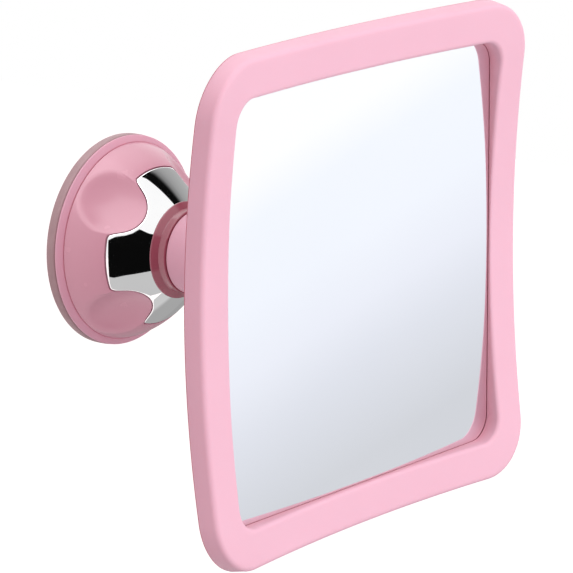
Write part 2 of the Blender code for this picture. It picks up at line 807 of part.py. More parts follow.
def screw_places():
    """The shell screws, two along each side: (x, y, level of the shell's outside, level of the pad)."""
    places = []
    share = (SCREW_INSET + FRAME_FLARE) / (SHELL_TURN + FRAME_FLARE)
    for normal in (Vector((1, 0)), Vector((-1, 0)), Vector((0, 1)), Vector((0, -1))):
        half, half_side = FRAME_WIDTH / 2, FRAME_HEIGHT / 2
        if normal.y:
            half, half_side = half_side, half
        for along in (1, -1):
            edge = normal * half + normal.orthogonal() * along * (half_side - SCREW_FROM_END)
            spot = edge - normal * SCREW_INSET
            rim = dish_level(edge.x, edge.y) - rim_drop
            outside = shell_level(shell_outside, rim, share)
            places.append((spot.x, spot.y, outside, rim + SHELL_WALL + SCREW_PAD_HEIGHT))
    return places


def make_front_frame(places):
    rings = [dished_ring(-FRAME_FLARE, FRAME_DEPTH)]
    for step in range(ARC_STEPS + 1):
        angle = QUARTER * step / ARC_STEPS
        inset = FRAME_ROUND * (1 - math.cos(angle))
        rings.append(dished_ring(inset, FRAME_ROUND * (1 - math.sin(angle))))
    for step in range(ARC_STEPS + 1):
        angle = QUARTER * step / ARC_STEPS
        inset = band - LIP_ROUND * (1 - math.sin(angle))
        ring = []
        for x, y, front in dished_ring(inset, 0):
            depth = min(LIP_ROUND, LIP_DEPTH_SHARE * (front - seat_level))
            ring.append((x, y, front - depth * (1 - math.cos(angle))))
        rings.append(ring)
    rings.append(flat_ring(band, seat_level))
    rings.append(flat_ring(band - SEAT_WIDTH, seat_level))
    rings.append(dished_ring(band - SEAT_WIDTH - SEAT_STEP, FACE_THICKNESS))
    rings.append(dished_ring(SKIRT_THICKNESS, FACE_THICKNESS))
    rings.append(dished_ring(SKIRT_THICKNESS - FRAME_FLARE, FRAME_DEPTH))
    frame = loft("front_frame", rings, PINK)
    posts = []
    pilots = []
    for x, y, outside, pad in places:
        front = dish_level(x, y, SCREW_INSET)
        low = pad + GAP
        posts.append((x, y, POST_RADIUS, low, front - FACE_THICKNESS / 2))
        screw_high = outside + SCREW_SINK + SCREW_HEAD + SCREW_LENGTH
        pilots.append((x, y, SCREW_RADIUS + GAP, low - OVERRUN, screw_high + GAP))
    cut(frame, pillars("screw_posts", posts, MIRROR), "UNION")
    cut(frame, pillars("post_pilots", pilots, MIRROR))


def make_rear_shell(places, socket_holes):
    rim_levels = [level for x, y, level in dished_ring(-FRAME_FLARE, rim_drop)]
    root_levels = [level + SHELL_WALL for level in rim_levels]
    steps = ARC_STEPS + 1
    shares = [i / steps for i in range(steps + 1)]
    boss_low = -MIRROR_REACH
    pocket = boss_low + socket_inside + SOCKET_FLOOR + GAP
    hollow = boss_radius - BOSS_SHELL
    inner_span = SHELL_TURN - tongue_inner
    outer_span = SHELL_TURN + FRAME_FLARE
    rings = [
        round_ring(hollow, pocket + BOSS_FLOOR),
        round_ring(hollow, shell_inside),
    ]
    for share in reversed(shares):
        inset = tongue_inner + share * inner_span
        rings.append(blended_ring(inset, shell_inside, root_levels, share))
    rings.append(dished_ring(tongue_inner, tongue_drop))
    rings.append(dished_ring(tongue_outer, tongue_drop))
    rings.append(dished_ring(tongue_outer, rim_drop))
    for share in shares:
        inset = share * outer_span - FRAME_FLARE
        rings.append(blended_ring(inset, shell_outside, rim_levels, share))
    rings += [
        round_ring(boss_radius + BOSS_FILLET, shell_outside),
        round_ring(boss_radius, shell_outside - BOSS_FILLET),
        round_ring(boss_radius, boss_low),
        round_ring(boss_bore, boss_low),
        round_ring(boss_bore, pocket),
    ]
    shell = loft("rear_shell", rings, PINK, capped=True)
    pads = []
    holes = []
    sinks = []
    for x, y, outside, pad in places:
        seat = outside + SCREW_SINK + SCREW_HEAD + GAP
        pads.append((x, y, SCREW_PAD_RADIUS, outside + SHELL_WALL / 2, pad))
        holes.append((x, y, SCREW_RADIUS + GAP, outside - OVERRUN, pad + OVERRUN))
        sinks.append((x, y, SCREW_HEAD_RADIUS + GAP, outside - OVERRUN, seat))
    cut(shell, pillars("screw_pads", pads, MIRROR), "UNION")
    cut(shell, pillars("shell_holes", holes, MIRROR))
    cut(shell, pillars("shell_sinks", sinks, MIRROR))
    depth = SOCKET_SCREW_LENGTH - SOCKET_SCREW_DEPTH
    bore = SOCKET_SCREW_RADIUS + GAP
    pilots = [(x, y, bore, -OVERRUN, depth + GAP) for x, y in socket_holes]
    cut(shell, pillars("boss_pilots", pilots, BALL))


def make_shell_screws(places):
    for index, (x, y, outside, pad) in enumerate(places):
        make_screw(
            f"shell_screw_{index + 1}", (x, y, outside + SCREW_SINK), MIRROR, SCREW_RADIUS,
            SCREW_HEAD_RADIUS, SCREW_HEAD, SCREW_LENGTH,
        )


def make_seal():
    """The cord seal that lies between the shell's tongue and the face's underside."""
    outer = tongue_outer + SEAL_INSET
    inner = tongue_inner - SEAL_INSET
    low = seal_drop + SEAL_HEIGHT
    loft("perimeter_seal", [
        dished_ring(outer, seal_drop),
        dished_ring(inner, seal_drop),
        dished_ring(inner, low),
        dished_ring(outer, low),
    ], SEAL)


def make_plate(name, half_x, half_y, corner, low, high, material):
    """A flat rounded plate between two levels."""
    outline = rounded_square(half_x, half_y, corner)
    curve = bpy.data.curves.new(name, "CURVE")
    curve.dimensions = "2D"
    curve.fill_mode = "BOTH"
    curve.extrude = (high - low) / 2
    spline = curve.splines.new("POLY")
    spline.points.add(len(outline) - 1)
    for point, place in zip(spline.points, outline):
        point.co = (place.x, place.y, 0, 1)
    spline.use_cyclic_u = True
    made = add_object(name, curve, MIRROR, material)
    made.location = (0, 0, (low + high) / 2)


def make_plates():
    half_x = lip_width / 2 + PLATE_OVERLAP
    half_y = lip_height / 2 + PLATE_OVERLAP
    corner = LIP_CORNER + PLATE_OVERLAP
    make_plate("mirror_plate", half_x, half_y, corner, plate_low, GLASS_LEVEL, SILVERED)
    make_plate(
        "foam_pad", half_x - FOAM_INSET, half_y - FOAM_INSET, corner - FOAM_INSET,
        foam_low, foam_high, FOAM,
    )


make_pad()
make_housing()
make_stud()
make_spring()
make_mount_rings()
make_knob()
make_star()
make_cam()
make_neck()
socket_holes = make_ball_joint()
shell_places = screw_places()
make_front_frame(shell_places)
make_rear_shell(shell_places, socket_holes)
make_shell_screws(shell_places)
make_seal()
make_plates()
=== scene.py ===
"""The looks of the fogless shower mirror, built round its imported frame.

Metres, +Z up. The wall is the plane Y = 0, the mount's axis is the Y axis, and the mirror faces -Y.
Heights are measured out from the wall, and levels forward from the centre of the mirror's dish.
"""

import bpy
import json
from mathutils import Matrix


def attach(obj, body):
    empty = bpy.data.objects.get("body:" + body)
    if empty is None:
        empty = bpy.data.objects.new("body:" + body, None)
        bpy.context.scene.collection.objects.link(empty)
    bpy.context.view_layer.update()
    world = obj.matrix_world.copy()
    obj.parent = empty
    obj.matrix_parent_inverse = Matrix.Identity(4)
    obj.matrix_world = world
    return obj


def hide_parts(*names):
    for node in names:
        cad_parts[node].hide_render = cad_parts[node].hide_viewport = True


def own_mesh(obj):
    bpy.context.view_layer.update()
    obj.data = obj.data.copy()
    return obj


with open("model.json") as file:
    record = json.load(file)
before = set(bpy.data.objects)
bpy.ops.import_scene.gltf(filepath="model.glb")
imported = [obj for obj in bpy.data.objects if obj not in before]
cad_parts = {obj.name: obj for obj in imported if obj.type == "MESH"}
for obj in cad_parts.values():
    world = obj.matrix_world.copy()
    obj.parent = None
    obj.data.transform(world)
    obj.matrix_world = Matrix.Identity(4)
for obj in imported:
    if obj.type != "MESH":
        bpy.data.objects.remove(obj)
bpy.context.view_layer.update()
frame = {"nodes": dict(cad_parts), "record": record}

import json
import math

import bmesh
import bpy
from mathutils import Matrix, Vector

GAP = 0.0003
OVERRUN = 0.0020

# Suction pad, foot and housing
PAD_RADIUS = 0.0442
PAD_THICKNESS = 0.0045
PAD_EDGE = 0.0010
PAD_GROOVE = 0.0005
PAD_GROOVE_WIDTH = 0.0011
PAD_GROOVE_PLACES = (0.0400, 0.0372, 0.0344)
PAD_GROOVE_EDGE = PAD_GROOVE / 3
FOOT_THICKNESS = 0.0016
FOOT_COVER = 0.0013
STUD_RADIUS = 0.0040
HOUSING_INSET = 0.0002
HOUSING_THICKNESS = 0.0022
HOUSING_SIDE = 0.0008
HOUSING_BEND = 0.0004
HOUSING_EDGE = 0.0008
TUBE_BORE = 0.0066
TUBE_WALL = 0.0024
TUBE_END = 0.0030
PIN_RADIUS = 0.0015
PIN_HEIGHT = 0.0200
LIFT = 0.002985
STUD_TIP_RADIUS = 0.0034
SHOULDER_THICKNESS = 0.0020
SHOULDER_STEP = 0.0010
SPRING_WIRE = 0.0006
SPRING_LENGTH = 0.0108
SPRING_TURNS = 5

# Lock knob and its chrome star
LEDGE = 0.0029
KNOB_WALL = 0.0024
DOME_RISE = 0.0273
DOME_SHOULDER_STEP = 0.0029
DOME_SHOULDER_RISE = 0.0122
HUB_BORE = 0.0156
HUB_WALL = 0.0024
HUB_CLEAR = 0.0030
ARMS = 4
ARM_TURN = math.radians(3.3)
BOWL_RADIUS = 0.0350
BOWL_DEPTH = 0.0047
BOWL_PLACE_SHARE = 0.515
BOWL_BLEND = 0.0016
BOWL_BLEND_REACH = 0.0040
CHROME_THICKNESS = 0.0009
CHROME_LIP = 0.0006
CHROME_EDGE = 0.00028
CHROME_CORNER = 0.0024
CORNER_PASSES = 50
CHROME_SEAM = 0.00038
ARM_END_SHARE = 0.585
ARM_TO_BOWL_SHARE = 0.25
EDGE_SEARCH_STEPS = 30
LEAST_BLEND_SHARE = 0.05

# Collar and neck
COLLAR_HEIGHT = 0.0060
COLLAR_FLARE = 0.0028
COLLAR_FOOT = 0.0008
COLLAR_BAND = 0.0032
COLLAR_STEP = 0.0003
COLLAR_CLEAR = 0.0007
COLLAR_EDGE = 0.00022
NECK_RADIUS = 0.0170
NECK_WALL = 0.0025
NECK_LENGTH = 0.0190
NECK_NOSE = 0.0060
NECK_NOSE_RADIUS = 0.0095
NECK_CAVITY = 0.0160
NECK_EDGE = 0.0006
BUSHING_LENGTH = 0.0075
CLIP_THICKNESS = 0.0012
CLIP_DEPTH = 0.0010

# Ball joint
BALL_RADIUS = 0.0120
STEM_RADIUS = 0.0055
STEM_LENGTH = 0.0115
FLANGE_RADIUS = 0.0090
FLANGE_THICKNESS = 0.0020
SHANK_RADIUS = 0.0040
SHANK_LENGTH = 0.0086
LINER_THICKNESS = 0.0021
LINER_MOUTH = math.radians(56)
LINER_END = math.radians(140)
SOCKET_WALL = 0.0025
SOCKET_FLOOR = 0.0020
RING_MOUTH = math.radians(62)
RING_SHOULDER = 0.0033
BOSS_WALL = 0.0050
BOSS_FLOOR = 0.0023
BOSS_SHELL = 0.0025
BOSS_FILLET = 0.0030
SMALL_EDGE = 0.0003

# Mirror frame, plate and rear shell
FRAME_WIDTH = 0.2000
FRAME_HEIGHT = 0.2000
FRAME_CORNER = 0.0229
FRAME_BOW = 0.0014
BAND_ACROSS = 0.01525
BAND_UP = 0.01585
LIP_CORNER = 0.0100
DISH_ACROSS = 0.0072
DISH_UP = 0.00925
LIP_RAISE = 0.0015
FRAME_DEPTH = 0.0081
FRAME_FLARE = 0.0011
FRAME_ROUND = 0.0022
LIP_ROUND = 0.0015
LIP_DEPTH_SHARE = 0.55
RIM_EDGE = 0.0004
RIM_SEAM = 0.00006
FACE_THICKNESS = 0.0024
SKIRT_THICKNESS = 0.0024
SEAT_WIDTH = 0.0036
SEAT_STEP = 0.0004
MIRROR_REACH = 0.0318
MIRROR_RISE = 0.0019
GLASS_LEVEL = 0.0054
PLATE_THICKNESS = 0.0030
PLATE_OVERLAP = 0.0027
PLATE_EDGE = 0.00025
PLATE_SEAM = 0.00020
FOAM_THICKNESS = 0.0022
SHELL_WALL = 0.0022
SHELL_TURN = 0.0180
TONGUE_THICKNESS = 0.0020
SEAL_HEIGHT = 0.0015

# Screws
SCREW_FROM_END = 0.0380
SCREW_INSET = 0.0080
SCREW_RADIUS = 0.0013
SCREW_HEAD_RADIUS = 0.0024
SCREW_HEAD = 0.0015
SCREW_LENGTH = 0.0070
SCREW_SINK = 0.0010
SOCKET_SCREWS = 4
SOCKET_SCREW_RADIUS = 0.0011
SOCKET_SCREW_HEAD_RADIUS = 0.0018
SOCKET_SCREW_HEAD = 0.0013
SOCKET_SCREW_LENGTH = 0.0100
SOCKET_SCREW_DEPTH = 0.0032
SCREW_TURNS = [math.radians(turn) for turn in (12, 71, 38, 5, 57, 83, 24, 46)]
DRIVE_LENGTH_SHARE = 0.62
DRIVE_WIDTH_SHARE = 0.17
DRIVE_DEPTH_SHARE = 0.55

# Fineness of the meshes
ROUND_STEPS = 192
SMALL_STEPS = 32
STAR_STEPS = 1080
CORNER_STEPS = 22
SIDE_STEPS = 26
FILLET_STEPS = 6
BAND_STEPS = 10
DOME_STEPS = 44
DOME_STEPS_INSIDE = 11
BALL_STEPS = 24
WIRE_STEPS = 10
TURN_STEPS = 24
SMOOTH = math.radians(32)
WELD = 0.000005

QUARTER = math.pi / 2
UPWARD = Vector((0, 0, 1))
# Steps round an edge: how far each has gone from one face and has left to the other, as shares
ROUNDING = [
    (1 - math.cos(QUARTER * step / FILLET_STEPS), 1 - math.sin(QUARTER * step / FILLET_STEPS))
    for step in range(FILLET_STEPS + 1)
]

# Heights above the wall
housing_low = PAD_THICKNESS + GAP
housing_high = housing_low + HOUSING_THICKNESS
knob_low = housing_high + GAP
dome_high = knob_low + DOME_RISE
collar_low = dome_high + GAP
collar_high = collar_low + COLLAR_HEIGHT
neck_low = collar_high + GAP
neck_shoulder = neck_low + NECK_LENGTH
neck_high = neck_shoulder + NECK_NOSE
clip_low = neck_low + GAP + BUSHING_LENGTH + GAP
clip_high = clip_low + CLIP_THICKNESS
tube_high = clip_high + TUBE_END
flange_low = neck_high + GAP
flange_high = flange_low + FLANGE_THICKNESS
ball_height = flange_high + STEM_LENGTH + BALL_RADIUS
dish_height = ball_height + MIRROR_REACH
stud_shoulder = PIN_HEIGHT + PIN_RADIUS + GAP + SHOULDER_STEP + SHOULDER_THICKNESS
spring_low = stud_shoulder + GAP

# Radii
housing_radius = PAD_RADIUS - HOUSING_INSET
knob_radius = housing_radius - LEDGE
tube_radius = TUBE_BORE + TUBE_WALL
foot_radius = TUBE_BORE - 2 * GAP
collar_tip = NECK_RADIUS + GAP
collar_radius = collar_tip + COLLAR_FLARE
dome_front_radius = collar_radius + COLLAR_CLEAR
liner_inside = BALL_RADIUS + GAP
liner_outside = liner_inside + LINER_THICKNESS
socket_inside = liner_outside + GAP
socket_outside = socket_inside + SOCKET_WALL
boss_bore = socket_outside + GAP
boss_radius = boss_bore + BOSS_WALL
screw_circle = boss_bore + BOSS_WALL / 2

# Levels forward of the dish's centre
seat_level = GLASS_LEVEL + PLATE_SEAM
plate_low = GLASS_LEVEL - PLATE_THICKNESS
shell_inside = plate_low - FOAM_THICKNESS - 2 * GAP
shell_outside = shell_inside - SHELL_WALL

# The lip's size, and places measured in from the frame's side or back from its face
lip_width = FRAME_WIDTH - 2 * BAND_ACROSS
lip_height = FRAME_HEIGHT - 2 * BAND_UP
band = (BAND_ACROSS + BAND_UP) / 2
tongue_drop = FACE_THICKNESS + SEAL_HEIGHT + 2 * GAP
rim_drop = FRAME_DEPTH + RIM_SEAM
tongue_outer = SKIRT_THICKNESS + GAP
tongue_inner = tongue_outer + TONGUE_THICKNESS

# Node trees


class Graph:
    """A node tree under construction."""

    def __init__(self, owner):
        owner.use_nodes = True
        self.nodes = owner.node_tree.nodes
        self.links = owner.node_tree.links

    def add(self, kind, inputs=None, operation=None):
        """The outputs of a new node, whose inputs are values or other nodes' outputs."""
        made = self.nodes.new("ShaderNode" + kind)
        if operation is not None:
            made.operation = operation
        for socket, value in (inputs or {}).items():
            if isinstance(value, bpy.types.NodeSocket):
                self.links.new(value, made.inputs[socket])
            else:
                made.inputs[socket].default_value = value
        return made.outputs

    def math(self, operation, first, second):
        return self.add("Math", {0: first, 1: second}, operation)[0]

    def ramp(self, pattern, stops):
        """A colour that runs through stops of (share, colour) as the pattern rises."""
        made = self.nodes.new("ShaderNodeValToRGB")
        self.links.new(pattern, made.inputs["Fac"])
        elements = made.color_ramp.elements
        for index, (share, colour) in enumerate(stops):
            element = elements[index] if index < 2 else elements.new(share)
            element.position = share
            element.color = (*colour, 1)
        return made.outputs["Color"]


class Painter(Graph):
    """A node material under construction: a Principled shader and the textures that feed it."""

    def __init__(self, name, **constants):
        self.material = bpy.data.materials.new(name)
        super().__init__(self.material)
        self.shader = self.nodes["Principled BSDF"]
        self.place = self.add("TexCoord")["Object"]
        for socket, value in constants.items():
            self.shader.inputs[socket.replace("_", " ")].default_value = value

    def feed(self, socket, output):
        self.links.new(output, self.shader.inputs[socket])

    def noise(self, size, detail, stretch=None):
        """Noise whose features are about size metres across."""
        place = self.place
        if stretch is not None:
            place = self.add("Mapping", {"Vector": place, "Scale": stretch})["Vector"]
        return self.add("TexNoise", {"Vector": place, "Scale": 1 / size, "Detail": detail})["Fac"]

    def cells(self, size):
        return self.add("TexVoronoi", {"Vector": self.place, "Scale": 1 / size})["Distance"]

    def colour(self, pattern, first, second, low=0.35, high=0.65):
        """Base colour that runs from first to second as the pattern goes from low to high."""
        self.feed("Base Color", self.ramp(pattern, ((low, first), (high, second))))

    def painted_recess_shade(self, deep, reach):
        """Painted shade: base colour going over to a deep one where surfaces within reach close a
        place in.
        """
        closed = self.nodes.new("ShaderNodeAmbientOcclusion")
        closed.samples = OCCLUSION_SAMPLES
        closed.inputs["Distance"].default_value = reach
        base = self.shader.inputs["Base Color"].links[0].from_socket
        inputs = {"Fac": closed.outputs["AO"], "Color1": (*deep, 1), "Color2": base}
        self.feed("Base Color", self.add("MixRGB", inputs)["Color"])

    def roughness(self, pattern, low, high):
        inputs = {"From Min": NOISE_LOW, "From Max": NOISE_HIGH, "To Min": low, "To Max": high}
        self.feed("Roughness", self.add("MapRange", {"Value": pattern, **inputs})["Result"])

    def bump(self, pattern, height, strength=1.0):
        """Bumps of about height metres. A second call lays its bumps over the first's."""
        inputs = {"Height": pattern, "Distance": height, "Strength": strength}
        normal = self.shader.inputs["Normal"]
        if normal.is_linked:
            inputs["Normal"] = normal.links[0].from_socket
        self.feed("Normal", self.add("Bump", inputs)["Normal"])


# Materials

OCCLUSION_SAMPLES = 32
NOISE_LOW = 0.3
NOISE_HIGH = 0.7
FLOW_MARK_SHADE = 0.985
WAVE_TO_GRAIN = 3
WAVE_STRENGTH = 0.6
SATIN_PINK = (0.885, 0.568, 0.705)
# Painted shade in recesses: the darker pink they go over to, and how near the closing surfaces must
# be.
RECESS_SHADE_PINK = (0.86, 0.26, 0.35)
RECESS_SHADE_REACH = 0.0070
GLOSS_PINK = (0.800, 0.460, 0.575)
MAUVE = (0.40, 0.110, 0.160)
BEARING_WHITE = (0.78, 0.78, 0.75)


def moulded_plastic(name, colour, roughness, grain, **constants):
    """Injection-moulded plastic: faint flow marks in its colour, uneven gloss and a fine grain."""
    paint = Painter(name, **constants)
    flow_mark = [channel * FLOW_MARK_SHADE for channel in colour]
    paint.colour(paint.noise(size=0.035, detail=2), flow_mark, colour)
    paint.roughness(paint.noise(size=0.009, detail=4), *roughness)
    paint.bump(paint.noise(size=0.0004, detail=2), grain)
    paint.bump(paint.noise(size=0.014, detail=1), grain * WAVE_TO_GRAIN, WAVE_STRENGTH)
    return paint


def satin_pink():
    paint = moulded_plastic(
        "satin_pink_plastic", SATIN_PINK, roughness=(0.42, 0.52), grain=0.000004,
        Specular_IOR_Level=0.16, Subsurface_Weight=0.08, Subsurface_Radius=(0.004, 0.002, 0.002),
        Subsurface_Scale=0.6,
    )
    # Painted shade: recesses, such as the frame's wall by the glass, darken in the base colour.
    paint.painted_recess_shade(RECESS_SHADE_PINK, RECESS_SHADE_REACH)
    return paint.material


def gloss_pink():
    return moulded_plastic(
        "gloss_pink_plastic", GLOSS_PINK, roughness=(0.22, 0.28), grain=0.000002,
        Specular_IOR_Level=0.50,
    ).material


def mauve_gloss():
    return moulded_plastic(
        "mauve_collar_gloss", MAUVE, roughness=(0.14, 0.19), grain=0.000001,
        Specular_IOR_Level=0.85,
    ).material


def white_plastic():
    return moulded_plastic(
        "white_bearing_plastic", BEARING_WHITE, roughness=(0.36, 0.50), grain=0.000006,
    ).material


def textured(name, tones, roughness, bump, noises, **constants):
    """A material whose colour, roughness and bumps follow a noise each, of (size, detail)."""
    paint = Painter(name, **constants)
    patches, smears, grain = [paint.noise(*noise) for noise in noises]
    paint.colour(patches, *tones)
    paint.roughness(smears, *roughness)
    paint.bump(grain, *bump)
    return paint.material


def chrome_plate():
    return textured(
        "chrome_plate", tones=((0.95, 0.95, 0.955), (0.97, 0.97, 0.97)), roughness=(0.02, 0.05),
        bump=(0.00001, 0.5), noises=((0.012, 2), (0.006, 5), (0.010, 1)), Metallic=1.0,
    )


def grey_rubber():
    return textured(
        "grey_rubber_moulded", tones=((0.43, 0.31, 0.335), (0.47, 0.345, 0.37)),
        roughness=(0.50, 0.66), bump=(0.00002,), noises=((0.006, 5), (0.004, 4), (0.0006, 3)),
    )


def mirror_silver():
    """Silvering under a clear anti-fog coat, whose faint unevenness shows in its gloss."""
    return textured(
        "mirror_silvering", tones=((0.955, 0.962, 0.980), (0.965, 0.970, 0.985)),
        roughness=(0.012, 0.030), bump=(0.000008, 0.3),
        noises=((0.080, 2), (0.020, 4), (0.050, 1)), Metallic=1.0,
    )


def brushed_steel():
    """Steel whose fine marks run round the mount's axis: two noises are squeezed along it."""
    return textured(
        "brushed_steel", tones=((0.50, 0.51, 0.53), (0.60, 0.61, 0.63)), roughness=(0.20, 0.36),
        bump=(0.000004,), noises=((0.004, 4), (0.0003, 3, (1, 12, 1)), (0.0002, 2, (1, 16, 1))),
        Metallic=1.0,
    )


def clear_silicone():
    return textured(
        "clear_silicone_cord", tones=((0.60, 0.60, 0.60), (0.68, 0.68, 0.68)),
        roughness=(0.28, 0.42), bump=(0.00001,), noises=((0.005, 3), (0.003, 3), (0.0015, 2)),
        Subsurface_Weight=0.3, Subsurface_Radius=(0.002, 0.002, 0.002), Subsurface_Scale=1.0,
    )


def closed_cell_foam():
    paint = Painter("closed_cell_foam")
    cells = paint.cells(size=0.0009)
    paint.colour(cells, (0.16, 0.16, 0.17), (0.27, 0.27, 0.28), low=0.1, high=0.7)
    paint.roughness(cells, low=0.95, high=0.80)
    paint.bump(cells, height=0.0002)
    return paint.material


MATERIALS = {
    "satin_pink_plastic": satin_pink(),
    "gloss_pink_plastic": gloss_pink(),
    "mauve_collar": mauve_gloss(),
    "chrome": chrome_plate(),
    "grey_rubber": grey_rubber(),
    "mirror_face": mirror_silver(),
    "white_inner_plastic": white_plastic(),
    "steel": brushed_steel(),
    "grey_foam": closed_cell_foam(),
    "clear_silicone": clear_silicone(),
}
record = frame["record"]
NODE_BODY = {node: body for body, nodes in record["behaviour"]["bodies"].items() for node in nodes}
NODE_SLOT = {part["node"]: part["material_slot"] for part in record["subparts"]}

for name, node in frame["nodes"].items():
    node.data.materials.clear()
    node.data.materials.append(MATERIALS[NODE_SLOT[name]])

# Mesh helpers


def on_mount(x, y, height):
    """A point drawn with its height out from the wall, in the row frame."""
    return Vector((x, -height, y))


def on_mirror(x, y, level):
    """A point drawn from the centre of the mirror's dish, in the row frame."""
    return Vector((x, -dish_height - level, y + MIRROR_RISE))


def heading(angle):
    return Vector((math.cos(angle), math.sin(angle)))


def full_turn(steps):
    return [math.tau * step / steps for step in range(steps)]


def circle(radius, height, angles):
    return [on_mount(radius * math.cos(a), radius * math.sin(a), height) for a in angles]


def linked(name, data):
    """A new object in the scene's collection."""
    made = bpy.data.objects.new(name, data)
    bpy.context.scene.collection.objects.link(made)
    return made


def new_piece(name, mesh, node):
    """Make a finished mesh the piece that stands for a node."""
    made = linked(name, mesh)
    slot = NODE_SLOT[node]
    mesh.materials.append(MATERIALS[slot])
    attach(made, NODE_BODY[node])
    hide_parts(node)
    return made


def finish_mesh(name, shape):
    bmesh.ops.recalc_face_normals(shape, faces=shape.faces)
    mesh = bpy.data.meshes.new(name)
    shape.to_mesh(mesh)
    shape.free()
    mesh.shade_smooth()
    mesh.set_sharp_from_angle(angle=SMOOTH)
    return mesh


def skin(rows, close_rows=False):
    """A skin between rows of points that go round. A row of one point is a tip."""
    shape = bmesh.new()
    made = [[shape.verts.new(point) for point in row] for row in rows]
    pairs = list(zip(made, made[1:]))
    if close_rows:
        pairs.append((made[-1], made[0]))
    for row, following in pairs:
        count = max(len(row), len(following))
        for side in range(count):
            other = (side + 1) % count
            if len(row) == 1:
                corners = (row[0], following[side], following[other])
            elif len(following) == 1:
                corners = (row[side], row[other], following[0])
            else:
                corners = (row[side], row[other], following[other], following[side])
            shape.faces.new(corners)
    return shape


def skinned_piece(name, node, rows, close_rows=True):
    return new_piece(name, finish_mesh(name, skin(rows, close_rows)), node)


def filleted(corners, closed):
    """Points along (x, y, rounding) corners, with each rounding as an arc."""
    points = []
    count = len(corners)
    for index, (x, y, rounding) in enumerate(corners):
        here = Vector((x, y))
        if rounding == 0 or (not closed and index in (0, count - 1)):
            points.append(here)
            continue
        back = (Vector(corners[index - 1][:2]) - here).normalized()
        ahead = (Vector(corners[(index + 1) % count][:2]) - here).normalized()
        half = back.angle(ahead) / 2
        reach = rounding / math.tan(half)
        centre = here + (back + ahead).normalized() * rounding / math.sin(half)
        start = here + back * reach - centre
        end = here + ahead * reach - centre
        first = math.atan2(start.y, start.x)
        swing = (math.atan2(end.y, end.x) - first + math.pi) % math.tau - math.pi
        for step in range(FILLET_STEPS + 1):
            angle = first + swing * step / FILLET_STEPS
            points.append(centre + rounding * heading(angle))
    return points


def turned(name, corners, centre_height=0.0, steps=ROUND_STEPS, ring=True):
    """A mesh turned about the mount's axis from (radius, height, rounding) corners."""
    angles = full_turn(steps)
    rows = []
    for radius, height in filleted(corners, ring):
        rows.append(circle(radius, centre_height + height, angles if radius else angles[:1]))
    return finish_mesh(name, skin(rows, ring))


def turned_piece(name, node, corners, centre_height=0.0, ring=True):
    return new_piece(name, turned(name, corners, centre_height, ring=ring), node)


def cylinder(shape, start, end, radius):
    """Add a capped cylinder between two points."""
    axis = end - start
    turn = axis.to_track_quat("Z", "Y").to_matrix().to_4x4()
    bmesh.ops.create_cone(
        shape, cap_ends=True, segments=SMALL_STEPS, radius1=radius, radius2=radius,
        depth=axis.length, matrix=Matrix.Translation((start + end) / 2) @ turn,
    )


def carve(mesh, shape):
    """The mesh with a closed shape cut out of it."""
    cutter = linked("cutter", finish_mesh("cutter", shape))
    target = linked("carved", mesh)
    cut = target.modifiers.new("cut", "BOOLEAN")
    cut.operation = "DIFFERENCE"
    cut.object = cutter
    graph = bpy.context.evaluated_depsgraph_get()
    carved = bmesh.new()
    carved.from_object(target, graph)
    for made in (cutter, target):
        bpy.data.objects.remove(made)
    bmesh.ops.remove_doubles(carved, verts=carved.verts, dist=WELD)
    bmesh.ops.dissolve_degenerate(carved, edges=carved.edges, dist=WELD)
    return finish_mesh(mesh.name, carved)


def sphere_arc(radius, start, end, steps=BALL_STEPS):
    """Corners on a sphere, with angles measured from the wall side of the ball joint's axis."""
    angles = [start + (end - start) * i / steps for i in range(steps + 1)]
    return [(radius * math.sin(a), -radius * math.cos(a), 0) for a in angles]


# Suction pad, housing, collar and neck


def make_pad():
    foot_high = FOOT_COVER + FOOT_THICKNESS + 2 * GAP
    face = [(PAD_RADIUS, 0, PAD_EDGE)]
    half = PAD_GROOVE_WIDTH / 2
    for place in PAD_GROOVE_PLACES:
        for share, depth in ((1, 0), (0.5, PAD_GROOVE), (-0.5, PAD_GROOVE), (-1, 0)):
            face.append((place + share * half, depth, PAD_GROOVE_EDGE))
    turned_piece("rubber_suction_pad", "suction_pad", [
        (0, FOOT_COVER, 0),
        (foot_radius + GAP, FOOT_COVER, 0),
        (foot_radius + GAP, foot_high, 0),
        (STUD_RADIUS + GAP, foot_high, 0),
        (STUD_RADIUS + GAP, PAD_THICKNESS, SMALL_EDGE),
        (PAD_RADIUS, PAD_THICKNESS, PAD_EDGE),
        *face,
        (0, 0, 0),
    ], ring=False)


def make_housing():
    groove = tube_radius - CLIP_DEPTH
    mesh = turned("housing_ring", [
        (TUBE_BORE, tube_high, SMALL_EDGE),
        (tube_radius, tube_high, SMALL_EDGE),
        (tube_radius, clip_high + GAP, 0),
        (groove, clip_high + GAP, 0),
        (groove, clip_low - GAP, 0),
        (tube_radius, clip_low - GAP, 0),
        (tube_radius, housing_high, SMALL_EDGE),
        (knob_radius + HOUSING_BEND, housing_high, HOUSING_EDGE),
        (housing_radius, housing_low + HOUSING_SIDE, HOUSING_EDGE / 2),
        (housing_radius, housing_low, SMALL_EDGE),
        (TUBE_BORE, housing_low, SMALL_EDGE),
    ])
    half = PIN_RADIUS + GAP
    slots = bmesh.new()
    size = Matrix.Diagonal((2 * (tube_radius + OVERRUN), 2 * half + LIFT, 2 * half, 1))
    place = Matrix.Translation(on_mount(0, 0, PIN_HEIGHT + LIFT / 2))
    bmesh.ops.create_cube(slots, size=1, matrix=place @ size)
    new_piece("housing_ring", carve(mesh, slots), "base_housing")


